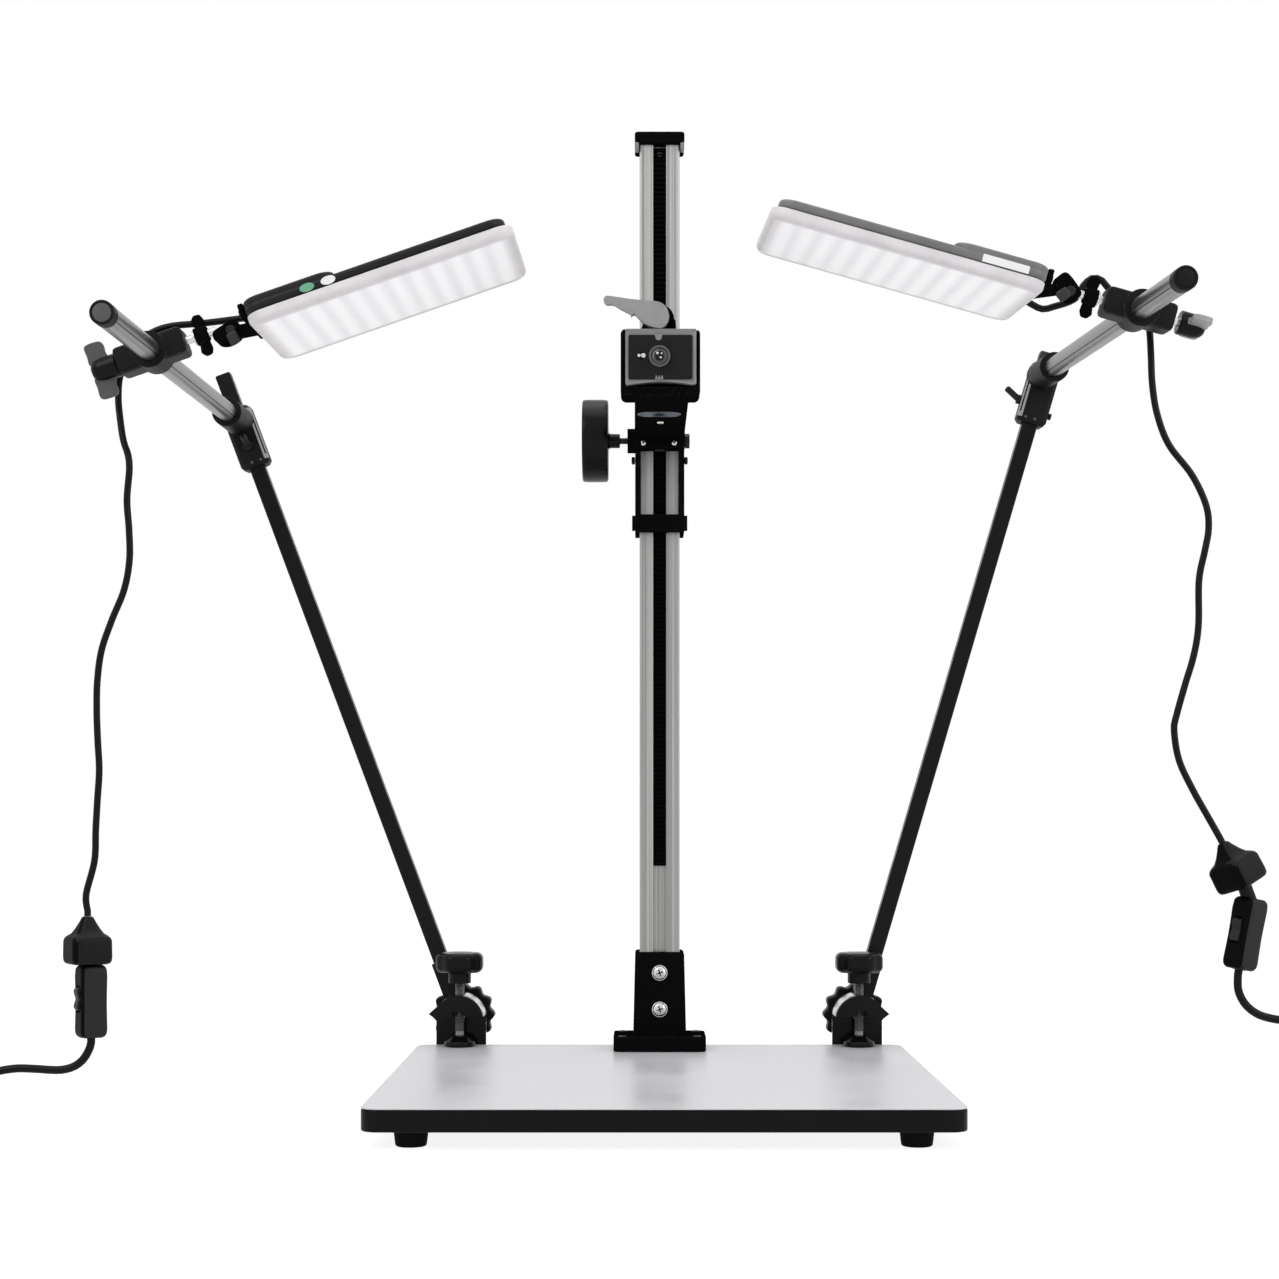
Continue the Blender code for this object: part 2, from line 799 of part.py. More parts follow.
def make_column():
    """The square column with its front slot, the rack in the slot and the cap."""
    corner_points = 3 * 4
    outline = rounded_rectangle(COLUMN_SIDE, COLUMN_SIDE, COLUMN_CORNER, 3)
    half, front = SLOT_WIDTH / 2, -COLUMN_SIDE / 2
    floor = front + SLOT_DEPTH
    slot = [(-half, front), (-half, floor), (half, floor), (half, front)]
    inside = COLUMN_SIDE - 2 * COLUMN_WALL
    inside_depth = COLUMN_SIDE - 2 * COLUMN_WALL - SLOT_DEPTH
    hollow = rounded_rectangle(inside, inside_depth, COLUMN_CORNER, 2, (0.0, SLOT_DEPTH / 2))
    column = slab(
        "column",
        [outline[:corner_points] + slot + outline[corner_points:], hollow],
        COLUMN_TOP - GAP,
        at(0, COLUMN_Y, (COLUMN_TOP + GAP) / 2),
    )
    finish(column, ANODISED)
    make_rack()
    cap_bottom = COLUMN_TOP + GAP
    outline = rounded_rectangle(CAP_SIDE, CAP_SIDE, CAP_CORNER)
    cap = slab("column_cap", [outline], CAP_HEIGHT, at(0, COLUMN_Y, cap_bottom + CAP_HEIGHT / 2))
    soften(cap, 0.001, 2)
    inner = COLUMN_SIDE / 2 + SLIDING
    for side in (-1, 1):
        x_edges = sorted((side * inner, side * (inner + CAP_TAB_WALL)))
        tab = block(
            f"cap_tab_{side + 1}",
            (x_edges[0], COLUMN_Y - CAP_TAB_DEPTH / 2, cap_bottom - CAP_TAB_DROP),
            (x_edges[1], COLUMN_Y + CAP_TAB_DEPTH / 2, cap_bottom + CAP_HEIGHT / 2),
        )
        join(cap, tab)
    finish(cap, BLACK_CAST)


def make_rack():
    """The rack strip, with straight-sided teeth that face the front."""
    back = COLUMN_FRONT + SLOT_DEPTH - GAP
    tip = back - (COLUMN_FRONT + RACK_TIP_DEPTH)
    pitch_line = tip - ADDENDUM
    root = pitch_line - DEDENDUM
    half = (PITCH / 2 - BACKLASH) / 2
    tip_half = half - ADDENDUM * math.tan(FLANK)
    root_half = half + DEDENDUM * math.tan(FLANK)
    start = AXLE_Z - TEETH_BELOW * PITCH
    count = TEETH_BELOW + TEETH_ABOVE
    outline = [(0.0, 0.0), (0.0, root)]
    for n in range(count):
        middle = (n + 0.5) * PITCH
        outline.append((middle - root_half, root))
        outline.append((middle - tip_half, tip))
        outline.append((middle + tip_half, tip))
        outline.append((middle + root_half, root))
    outline += [(count * PITCH, root), (count * PITCH, 0.0)]
    finish(slab("rack_strip", [outline], RACK_WIDTH, at(0, back, start) @ RACK_AXES), BLACK_PLASTIC)


def make_carriage():
    """The frame that wraps the column, with the camera arm and the quick release."""
    lift = carrier("carriage_lift", at(0, COLUMN_Y, AXLE_Z))
    back = COLUMN_Y + BORE_HALF
    front_wall = COLUMN_Y - BORE_HALF
    frame = block(
        "carriage_frame",
        (-CARRIAGE_HALF, HEAD_BLOCK_FRONT, HEAD_BLOCK_BOTTOM),
        (CARRIAGE_HALF, front_wall + OVERLAP, CARRIAGE_TOP),
    )
    soften(frame, 0.001, 1)
    shell_half = CARRIAGE_HALF - STEP
    shell = block(
        "carriage_shell",
        (-shell_half, SIDE_PLATE_FRONT, CARRIAGE_BOTTOM),
        (shell_half, back + CARRIAGE_BACK_WALL, CARRIAGE_TOP - STEP),
    )
    bar_top = CARRIAGE_BOTTOM + LOWER_BAR_HEIGHT
    lugs = block(
        "carriage_lugs",
        (-CARRIAGE_HALF - LUG_REACH, SIDE_PLATE_FRONT + 0.001, CARRIAGE_BOTTOM + 0.001),
        (CARRIAGE_HALF + LUG_REACH, SIDE_PLATE_FRONT + 0.001 + LUG_DEPTH, bar_top - 0.001),
    )
    bush_x = -CARRIAGE_HALF - BUSH_LENGTH
    bush = cylinder(
        "carriage_bush", (bush_x, AXLE_Y, AXLE_Z), (-CARRIAGE_HALF + 0.002, AXLE_Y, AXLE_Z), BUSH_RADIUS
    )
    join(frame, shell, lugs, bush)
    bore = block(
        "carriage_bore",
        (-BORE_HALF, front_wall, CARRIAGE_BOTTOM - 0.01),
        (BORE_HALF, back, CARRIAGE_TOP + 0.01),
    )
    window = block(
        "carriage_window",
        (STEP - BORE_HALF, SIDE_PLATE_FRONT - 0.02, bar_top),
        (BORE_HALF - STEP, front_wall + 0.002, HEAD_BLOCK_BOTTOM),
    )
    pinion_half = PINION_WIDTH / 2 + PINION_ROOM
    pocket = cylinder(
        "pinion_pocket",
        (-pinion_half, AXLE_Y, AXLE_Z),
        (pinion_half, AXLE_Y, AXLE_Z),
        PITCH_RADIUS + ADDENDUM + PINION_ROOM,
    )
    axle_hole = cylinder(
        "axle_hole", (-0.05, AXLE_Y, AXLE_Z), (0.05, AXLE_Y, AXLE_Z), AXLE_RADIUS + RUNNING, steps=24
    )
    cut(frame, bore, window, pocket, axle_hole)
    finish(frame, BLACK_CAST, lift)

    arm = block(
        "camera_arm",
        (-ARM_WIDTH / 2, ARM_FRONT, ARM_BOTTOM),
        (ARM_WIDTH / 2, HEAD_BLOCK_FRONT - GAP, ARM_TOP),
    )
    soften(arm, 0.0015, 2)
    finish(arm, BLACK_CAST, lift)
    make_quick_release(lift)
    make_drive(lift)


def make_drive(lift):
    """The height knob and the axle with its pinion and nut."""
    drive = carrier("drive_axis", at(0, AXLE_Y, AXLE_Z), lift)
    along_x = at(0, AXLE_Y, AXLE_Z) @ turned_frame(90, "Y")
    knob_end = KNOB_INNER_X - KNOB_LENGTH
    profile = [
        (0, KNOB_HUB_END),
        (KNOB_HUB_RADIUS, KNOB_HUB_END),
        (KNOB_HUB_RADIUS, KNOB_INNER_X),
        (KNOB_RADIUS - KNOB_EDGE, KNOB_INNER_X),
        (KNOB_RADIUS, KNOB_INNER_X - KNOB_EDGE),
        (KNOB_RADIUS, knob_end + KNOB_EDGE),
        (KNOB_RADIUS - KNOB_EDGE, knob_end),
        (0, knob_end),
    ]
    knob = turned("height_knob", profile, along_x, FINE_STEPS)
    seat = KNOB_HUB_END - KNOB_GRIP
    seat_hole = cylinder("knob_seat", (0, 0, seat), (0, 0, 0), AXLE_RADIUS + GAP, along_x, 24)
    cut(knob, seat_hole)
    finish(knob, BLACK_PLASTIC, drive)

    half = (PITCH / 2 - BACKLASH) / 2
    tip_radius = PITCH_RADIUS + ADDENDUM
    root_radius = PITCH_RADIUS - DEDENDUM
    tip_half = (half - ADDENDUM * math.tan(FLANK)) / tip_radius
    root_half = (half + DEDENDUM * math.tan(FLANK) / 2) / root_radius
    outline = []
    for n in range(PINION_TEETH):
        middle = math.tau * n / PINION_TEETH
        for angle, radius in (
            (middle - root_half, root_radius),
            (middle - half / PITCH_RADIUS, PITCH_RADIUS),
            (middle - tip_half, tip_radius),
            (middle + tip_half, tip_radius),
            (middle + half / PITCH_RADIUS, PITCH_RADIUS),
            (middle + root_half, root_radius),
        ):
            outline.append((radius * math.cos(angle), radius * math.sin(angle)))
    pinion = slab("pinion_shaft", [outline], PINION_WIDTH, at(0, AXLE_Y, AXLE_Z) @ RACK_AXES)
    nut_start = CARRIAGE_HALF + GAP
    axle_end = nut_start + NUT_LENGTH
    axle_start = KNOB_HUB_END - KNOB_GRIP + GAP
    axle = cylinder(
        "pinion_axle",
        (axle_start, AXLE_Y, AXLE_Z),
        (axle_end - 0.001, AXLE_Y, AXLE_Z),
        AXLE_RADIUS,
        steps=24,
    )
    nut = cylinder(
        "axle_nut", (nut_start, AXLE_Y, AXLE_Z), (axle_end, AXLE_Y, AXLE_Z), NUT_RADIUS, steps=6
    )
    join(pinion, axle, nut)
    finish(pinion, STEEL, drive)


def make_quick_release(lift):
    """The quick release on the arm's front end, its lever and the camera plate."""
    back = ARM_FRONT - GAP
    body = block(
        "quick_release_body",
        (-RELEASE_WIDTH / 2, RELEASE_FRONT, RELEASE_BOTTOM),
        (RELEASE_WIDTH / 2, back, RELEASE_TOP),
    )
    soften(body, 0.002, 2)
    boss = cylinder(
        "release_boss",
        (BOSS_X, PLATE_BACK + GAP, LEVER_Z - 0.001),
        (BOSS_X, back - 0.003, LEVER_Z - 0.001),
        BOSS_RADIUS,
    )
    join(body, boss)
    room = PLATE_WIDTH / 2 + GAP
    recess = block(
        "plate_recess",
        (-room, RELEASE_FRONT - 0.02, PLATE_BOTTOM - GAP),
        (room, PLATE_BACK + GAP, RELEASE_TOP + 0.001),
    )
    cut(body, recess)
    lever_front = PLATE_BACK - GAP - LEVER_THICKNESS
    pin = cylinder(
        "release_pin",
        (LEVER_X, lever_front - 0.0006, LEVER_Z),
        (LEVER_X, PLATE_BACK + 0.004, LEVER_Z),
        LEVER_PIN_RADIUS,
        steps=20,
    )
    join(body, pin)
    finish(body, BLACK_CAST, lift)

    lever_axis = carrier("lever_axis", at(LEVER_X, lever_front, LEVER_Z), lift)
    make_release_lever(lever_axis, lever_front)

    lift_off = carrier("plate_lift_off", at(0, PLATE_FRONT, PLATE_MIDDLE), lift)
    plate = block(
        "camera_plate",
        (-PLATE_WIDTH / 2, PLATE_FRONT, PLATE_BOTTOM),
        (PLATE_WIDTH / 2, PLATE_BACK, PLATE_BOTTOM + PLATE_HEIGHT),
    )
    soften(plate, 0.001, 1)
    pad_back = PLATE_FRONT + PAD_THICKNESS
    pad_room = block(
        "pad_recess",
        (-PAD_WIDTH / 2 - GAP, PLATE_FRONT - 0.01, PLATE_MIDDLE - PAD_HEIGHT / 2 - GAP),
        (PAD_WIDTH / 2 + GAP, pad_back + GAP, PLATE_MIDDLE + PAD_HEIGHT / 2 + GAP),
    )
    plate_hole = screw_hole("plate_hole")
    cut(plate, pad_room, plate_hole)
    finish(plate, LEVER_GREY, lift_off)
    pad = block(
        "plate_pad",
        (-PAD_WIDTH / 2, PLATE_FRONT, PLATE_MIDDLE - PAD_HEIGHT / 2),
        (PAD_WIDTH / 2, pad_back, PLATE_MIDDLE + PAD_HEIGHT / 2),
    )
    cut(pad, screw_hole("pad_hole"))
    finish(pad, DARK_RUBBER, lift_off)

    screw_axis = carrier("camera_screw_axis", at(SCREW_X, PLATE_FRONT, SCREW_Z), lift_off)
    head = SCREW_HEAD_HEIGHT + GAP
    profile = [
        (0, head + SCREW_STUD),
        (SCREW_RADIUS, head + SCREW_STUD),
        (SCREW_RADIUS, head),
        (SCREW_HEAD_RADIUS - 0.001, head),
        (SCREW_HEAD_RADIUS, head - 0.0006),
        (SCREW_HEAD_RADIUS, GAP),
        (SCREW_RADIUS, GAP),
        (SCREW_RADIUS, -SCREW_LENGTH),
        (0, -SCREW_LENGTH),
    ]
    forward = at(SCREW_X, PLATE_FRONT, SCREW_Z) @ turned_frame(90, "X")
    finish(turned("camera_screw", profile, forward), STEEL, screw_axis)


def screw_hole(name):
    """The camera screw's hole through the plate and its pad."""
    return cylinder(
        name,
        (SCREW_X, PLATE_FRONT - 0.01, SCREW_Z),
        (SCREW_X, PLATE_BACK + 0.01, SCREW_Z),
        SCREW_RADIUS + RUNNING,
        steps=24,
    )


def make_release_lever(lever_axis, lever_front):
    """The flat lever: a round hub that narrows to a round tip, with a small hook below."""
    tip = (-LEVER_REACH, LEVER_RISE)
    outline = arc(LEVER_RADIUS, -125.0, -58.0, 5)
    outline += arc(0.8 * LEVER_RADIUS, -32.0, 45.0, 6)
    outline.append((-0.06 * LEVER_REACH, LEVER_ROOT_RISE - 0.0005))
    outline.append((-0.34 * LEVER_REACH, LEVER_ROOT_RISE + 0.0008))
    outline.append((-0.65 * LEVER_REACH, LEVER_ROOT_RISE + 0.0034))
    outline += arc(LEVER_TIP_RADIUS, 80.0, 255.0, 6, tip)
    outline += [
        (-0.87 * LEVER_REACH, LEVER_RISE - 0.0037),
        (-0.72 * LEVER_REACH, LEVER_RISE - 0.0056),
        (-0.57 * LEVER_REACH, LEVER_RISE - 0.0086),
        (-0.54 * LEVER_REACH, LEVER_RISE - 0.0120),
        (-0.505 * LEVER_REACH, LEVER_RISE - 0.0112),
        (-0.47 * LEVER_REACH, LEVER_RISE - 0.0128),
        (-0.34 * LEVER_REACH, LEVER_RISE - 0.0165),
    ]
    middle = lever_front + LEVER_THICKNESS / 2
    lever = slab(
        "release_lever", [outline], LEVER_THICKNESS, at(LEVER_X, middle, LEVER_Z) @ UPRIGHT_AXES
    )
    pin_hole = cylinder(
        "lever_hole",
        (LEVER_X, lever_front - 0.01, LEVER_Z),
        (LEVER_X, lever_front + 0.02, LEVER_Z),
        LEVER_PIN_RADIUS + RUNNING,
        steps=20,
    )
    cut(lever, pin_hole)
    finish(lever, LEVER_GREY, lever_axis)


def make_clamp(stand):
    """The clamp on the board's back edge, with its spindle and its star knob."""
    side, x = stand.side, stand.side * CLAMP_X
    half = CLAMP_WIDTH / 2
    jaw_top = CORE_BOTTOM - GAP
    jaw_bottom = jaw_top - JAW_THICKNESS
    web_outline = [(-half, jaw_bottom - PIVOT_Z), (half, jaw_bottom - PIVOT_Z)]
    web_outline += arc(half, 0, 180, 20)
    web_middle = at(x, (WEB_FRONT + WEB_BACK) / 2, PIVOT_Z)
    frame = slab(f"clamp_frame_{stand.name}", [web_outline], WEB_THICKNESS, web_middle @ UPRIGHT_AXES)
    jaw = block(
        f"clamp_jaw_{stand.name}",
        (x - half + STEP, JAW_FRONT, jaw_bottom + STEP),
        (x + half - STEP, WEB_BACK - STEP, jaw_top),
    )
    flat = math.degrees(math.asin((DOME_BOTTOM - PIVOT_Z) / half))
    dome_back = WEB_FRONT + OVERLAP
    dome = slab(
        f"clamp_dome_{stand.name}",
        [arc(half - STEP, flat, 180 - flat, 18)],
        dome_back - DOME_FRONT,
        at(x, (DOME_FRONT + dome_back) / 2, PIVOT_Z) @ UPRIGHT_AXES,
    )
    join(frame, jaw, dome)
    spindle_hole = cylinder(
        f"spindle_hole_{stand.name}", (x, SPINDLE_Y, 0.01), (x, SPINDLE_Y, 0.06), SPINDLE_HOLE, steps=24
    )
    stud_hole = cylinder(
        f"stud_hole_{stand.name}",
        (x, WEB_FRONT - 0.005, PIVOT_Z),
        (x, WEB_BACK + 0.005, PIVOT_Z),
        STUD_HOLE,
        steps=24,
    )
    cut(frame, spindle_hole, stud_hole)
    finish(frame, BLACK_CAST)

    pad_axis = carrier(f"pad_axis_{stand.name}", at(x, SPINDLE_Y, GAP))
    radius, height = PRESSURE_PAD_RADIUS, PRESSURE_PAD_HEIGHT
    profile = [
        (0, height),
        (SPINDLE_RADIUS + 0.003, height),
        (radius - 0.001, height / 2),
        (radius, height / 2 - 0.001),
        (radius, 0),
        (0, 0),
    ]
    pad = turned(f"pressure_pad_{stand.name}", profile, at(x, SPINDLE_Y, GAP), 28)
    finish(pad, BLACK_CAST, pad_axis)
    make_spindle(stand, carrier(f"spindle_axis_{stand.name}", at(x, SPINDLE_Y, 0), pad_axis))

    star_axis = carrier(f"star_axis_{stand.name}", at(x, HUB_BACK, PIVOT_Z))
    star_front = HUB_BACK + GAP
    star = slab(
        f"star_knob_{stand.name}",
        [lobed(STAR_RADIUS, STAR_LOBES, STAR_LOBE_DEPTH)],
        STAR_THICKNESS,
        at(x, star_front + STAR_THICKNESS / 2, PIVOT_Z) @ UPRIGHT_AXES @ turned_frame(90, "Z"),
    )
    soften(star, 0.002, 1)
    stud = cylinder(
        f"star_stud_{stand.name}",
        (x, WEB_FRONT + GAP, PIVOT_Z),
        (x, star_front + 0.005, PIVOT_Z),
        STUD_RADIUS,
        steps=20,
    )
    join(star, stud)
    finish(star, BLACK_PLASTIC, star_axis)


def make_spindle(stand, spindle_axis):
    """The clamp's screw with its neck and its grip."""
    x = stand.side * CLAMP_X
    bottom = PRESSURE_PAD_HEIGHT + 2 * GAP
    thickness = SPINDLE_KNOB_TOP - SPINDLE_KNOB_Z
    grip = slab(
        f"clamp_spindle_{stand.name}",
        [lobed(SPINDLE_KNOB_RADIUS, SPINDLE_KNOB_LOBES, SPINDLE_KNOB_LOBE_DEPTH)],
        thickness,
        at(x, SPINDLE_Y, SPINDLE_KNOB_Z + thickness / 2) @ turned_frame(22.5, "Z"),
    )
    soften(grip, 0.0025, 2)
    profile = [
        (0, SPINDLE_KNOB_Z + 0.004),
        (SPINDLE_NECK_RADIUS, SPINDLE_KNOB_Z + 0.004),
        (SPINDLE_NECK_RADIUS, SPINDLE_NECK_Z),
        (SPINDLE_RADIUS, SPINDLE_NECK_Z),
        (SPINDLE_RADIUS, bottom),
        (0, bottom),
    ]
    screw = turned(f"spindle_screw_{stand.name}", profile, at(x, SPINDLE_Y, 0), 24)
    join(grip, screw)
    finish(grip, BLACK_PLASTIC, spindle_axis)


def pivot_frame(stand):
    """The frame of an arm at its pivot: local Z runs along the arm."""
    place = at(stand.side * CLAMP_X, ARM_Y, PIVOT_Z)
    return place @ turned_frame(stand.side * stand.lean, "Y")


def elbow_frame(stand):
    """The arm's frame moved up to the elbow."""
    return pivot_frame(stand) @ at(0, 0, stand.elbow_at)


def rod_frame(stand):
    """The frame of a rod at its ring: local -Y runs along the rod to its front end."""
    ring = elbow_frame(stand) @ Vector((-stand.side * stand.rod_inset, RING_Y - ARM_Y, 0))
    aim = turned_frame(stand.side * stand.splay, "Z") @ turned_frame(stand.droop, "X")
    return Matrix.Translation(ring) @ aim


def lamp_frame(stand):
    """The frame of a rod clamp and its lamp: local X is the axis of both studs."""
    tilt = turned_frame(stand.side * stand.lamp_tilt, "Y")
    return rod_frame(stand) @ at(0, -stand.clamp_at, 0) @ tilt


def panel_frame(stand):
    """The lamp's frame rolled on its stud."""
    return lamp_frame(stand) @ turned_frame(stand.lamp_roll, "X")


def make_arm(stand, arm_axis):
    """The arm: a hub on the clamp, a sleeve and the square tube."""
    side, name = stand.side, stand.name
    place = pivot_frame(stand)
    half = TUBE_SIDE / 2
    arm = block(f"arm_{name}", (-half, -half, 0), (half, half, TUBE_LENGTH), place)
    soften(arm, 0.001, 1)
    hub_half = HUB_THICKNESS / 2
    hub = cylinder(f"arm_hub_{name}", (0, -hub_half, 0), (0, hub_half, 0), HUB_RADIUS, place)
    sleeve_half = SLEEVE_SIDE / 2 - 0.001
    sleeve = block(
        f"arm_sleeve_{name}",
        (-SLEEVE_SIDE / 2, -sleeve_half, 0),
        (SLEEVE_SIDE / 2, sleeve_half, SLEEVE_LENGTH),
        place,
    )
    reach = side * WEDGE_REACH
    wedge_outline = [(side * 0.004, 0.022), (reach, 0.0), (side * 0.004, -0.018)]
    flat = turned_frame(-side * stand.lean, "Y")
    wedge = slab(
        f"arm_wedge_{name}",
        [wedge_outline],
        HUB_THICKNESS - 0.002,
        place @ flat @ at(0, 0, 0.002) @ UPRIGHT_AXES,
    )
    join(arm, hub, sleeve, wedge)
    stud_hole = cylinder(f"arm_hole_{name}", (0, -0.03, 0), (0, 0.03, 0), STUD_HOLE, place, 24)
    cut(arm, stud_hole)
    finish(arm, BLACK_PAINT, arm_axis)


def make_elbow(stand, elbow_axis):
    """The elbow that slides on the arm and holds the rod, with its lever."""
    side, name = stand.side, stand.name
    place = elbow_frame(stand)
    body = block(
        f"elbow_body_{name}",
        (-ELBOW_WIDTH / 2, -ELBOW_DEPTH / 2, -ELBOW_BELOW),
        (ELBOW_WIDTH / 2, ELBOW_DEPTH / 2, ELBOW_ABOVE),
        place,
    )
    soften(body, 0.003, 1)
    ring_back = HUB_FRONT - RING_Y + OVERLAP
    ring = cylinder(
        f"elbow_ring_{name}", (0, -RING_FRONT, 0), (0, ring_back, 0), RING_RADIUS, rod_frame(stand)
    )
    lock = place @ turned_frame(stand.handle_turn, "Z")
    bolt = cylinder(
        f"elbow_bolt_{name}",
        (side * (stand.handle_seat - 0.002), 0, BOLT_HEAD_Z),
        (side * (stand.handle_seat + BOLT_HEAD_LENGTH), 0, BOLT_HEAD_Z),
        BOLT_HEAD_RADIUS,
        lock,
        16,
    )
    join(body, ring, bolt)
    bore_half = TUBE_SIDE / 2 + RUNNING
    arm_bore = block(
        f"elbow_bore_{name}",
        (-bore_half, -bore_half, -ELBOW_BELOW - 0.01),
        (bore_half, bore_half, ELBOW_ABOVE + 0.01),
        place,
    )
    rod_bore = cylinder(
        f"ring_bore_{name}",
        (0, -RING_FRONT - 0.01, 0),
        (0, ROD_SEAT + GAP, 0),
        ROD_HOLE,
        rod_frame(stand),
    )
    cut(body, arm_bore, rod_bore)
    finish(body, BLACK_CAST, elbow_axis)

    hub_start = -side * (stand.handle_seat + GAP)
    hub_end = hub_start - side * HANDLE_HUB_LENGTH
    lever_axis = carrier(f"elbow_lever_axis_{name}", lock @ at(hub_start, 0, HANDLE_Z), elbow_axis)
    lever = cylinder(
        f"elbow_lever_{name}",
        (hub_start, 0, HANDLE_Z),
        (hub_end, 0, HANDLE_Z),
        HANDLE_HUB_RADIUS,
        lock,
        20,
    )
    root = Vector(((hub_start + hub_end) / 2, 0, HANDLE_Z))
    angle = math.radians(HANDLE_ANGLE)
    reach = Vector((-side * math.cos(angle), 0, math.sin(angle))) * HANDLE_LENGTH
    handle = cylinder(f"lever_handle_{name}", root, root + reach, HANDLE_RADIUS, lock, 16)
    soften(handle, 0.001, 1)
    join(lever, handle)
    finish(lever, BLACK_PLASTIC, lever_axis)


def make_rod(stand, rod_axis):
    """The light rod, from its ring to the front."""
    rod = cylinder(
        f"light_rod_{stand.name}",
        (0, ROD_SEAT, 0),
        (0, ROD_SEAT - ROD_LENGTH, 0),
        ROD_RADIUS,
        rod_frame(stand),
        ROUND_STEPS,
    )
    finish(rod, SATIN_ROD, rod_axis)


def make_rod_clamp(stand, clamp_axis):
    """The clamp on the rod, with a bore for a stud at each end."""
    name, place = stand.name, lamp_frame(stand)
    half = CLAMP_LENGTH / 2
    body = block(
        f"rod_clamp_{name}",
        (-half, -CLAMP_DEPTH / 2, -CLAMP_HEIGHT / 2),
        (half, CLAMP_DEPTH / 2, CLAMP_HEIGHT / 2),
        place,
    )
    soften(body, 0.003, 2)
    boss_half = CLAMP_BOSS_LENGTH / 2
    boss = cylinder(
        f"clamp_boss_{name}", (0, -boss_half, 0), (0, boss_half, 0), CLAMP_BOSS_RADIUS, place
    )
    join(body, boss)
    rod_bore = cylinder(f"clamp_bore_{name}", (0, -0.05, 0), (0, 0.05, 0), ROD_HOLE, place)
    seat = half - STUD_DEPTH
    bores = [
        cylinder(f"clamp_seat_{name}_{n}", (end * seat, 0, 0), (end * 0.05, 0, 0), STUD_HOLE, place, 24)
        for n, end in enumerate((-1, 1))
    ]
    cut(body, rod_bore, *bores)
    finish(body, BLACK_CAST, clamp_axis)


def make_wing_knob(stand, clamp_axis):
    """The wing knob that locks a rod clamp, on its outer end."""
    side, name = stand.side, stand.name
    place = lamp_frame(stand) @ turned_frame(stand.wing_turn, "X")
    axis = carrier(f"wing_axis_{name}", place @ at(side * CLAMP_LENGTH / 2, 0, 0), clamp_axis)
    start = CLAMP_LENGTH / 2 + stand.wing_gap
    knob = cylinder(
        f"wing_knob_{name}",
        (side * start, 0, 0),
        (side * (start + WING_HUB_LENGTH), 0, 0),
        WING_HUB_RADIUS,
        place,
        24,
    )
    wings = slab(
        f"wings_{name}",
        [rounded_rectangle(WING_LENGTH, WING_SPAN, 0.003, 3)],
        WING_THICKNESS,
        place @ at(side * (start + WING_START + WING_LENGTH / 2), 0, 0) @ UPRIGHT_AXES,
    )
    stud = cylinder(
        f"wing_stud_{name}",
        (side * (start + 0.002), 0, 0),
        (side * (CLAMP_LENGTH / 2 - STUD_DEPTH + GAP), 0, 0),
        STUD_RADIUS,
        place,
        16,
    )
    join(knob, wings, stud)
    finish(knob, BLACK_PLASTIC, axis)


def make_knuckle(stand, roll_axis):
    """The stud, wing nut, bracket and strap that carry a lamp."""
    inward, name = -stand.side, stand.name
    place = panel_frame(stand)
    strap_back = stand.lamp_start - GAP
    lamp_front = stand.lamp_shift - LAMP_DEPTH / 2

    def box_in(label, start, end, y, z):
        edges = sorted((inward * start, inward * end))
        return block(f"{label}_{name}", (edges[0], y[0], z[0]), (edges[1], y[1], z[1]), place)

    bracket_in, bracket_up = stand.bracket_at
    bracket = place @ at(inward * bracket_in, 0, bracket_up)
    half_size = Vector((KNUCKLE_LENGTH, KNUCKLE_DEPTH, KNUCKLE_HEIGHT)) / 2
    knuckle = block(
        f"lamp_knuckle_{name}",
        -half_size,
        half_size,
        bracket @ turned_frame(-inward * stand.bracket_turn, "Y"),
    )
    soften(knuckle, 0.002, 1)
    stud = cylinder(
        f"knuckle_stud_{name}",
        (inward * (CLAMP_LENGTH / 2 - STUD_DEPTH + GAP), 0, 0),
        (inward * KNUCKLE_STUD_END, 0, 0),
        STUD_RADIUS,
        place,
        16,
    )
    nut_end = stand.nut_start + NUT_HUB_LENGTH
    nut = cylinder(
        f"wing_nut_{name}",
        (inward * stand.nut_start, 0, 0),
        (inward * nut_end, 0, 0),
        NUT_HUB_RADIUS,
        place,
        20,
    )
    half_wing = NUT_WING_THICKNESS / 2
    wings = box_in(
        "nut_wings",
        stand.nut_start + 0.002,
        nut_end - 0.001,
        (-half_wing, half_wing),
        (-NUT_WING_SPAN / 2, NUT_WING_SPAN / 2),
    )
    soften(wings, 0.0015, 1)
    tongue_end = inward * (strap_back - STRAP_THICKNESS / 2)
    tongue_start = inward * bracket_in
    tongue_outline = [
        (tongue_start, bracket_up - TONGUE_HEIGHT / 2),
        (tongue_end, TRAY_TOP + 0.001),
        (tongue_end, TRAY_TOP + 0.001 + TONGUE_HEIGHT),
        (tongue_start, bracket_up + TONGUE_HEIGHT / 2),
    ]
    tongue = slab(f"knuckle_tongue_{name}", [tongue_outline], TONGUE_DEPTH, place @ UPRIGHT_AXES)
    strap = box_in(
        "knuckle_strap",
        strap_back - STRAP_THICKNESS,
        strap_back,
        (lamp_front + LAMP_CORNER, lamp_front + STRAP_REACH),
        (TRAY_TOP, TRAY_TOP + STRAP_HEIGHT),
    )
    join(knuckle, stud, nut, wings, tongue, strap)
    finish(knuckle, BLACK_CAST, roll_axis)


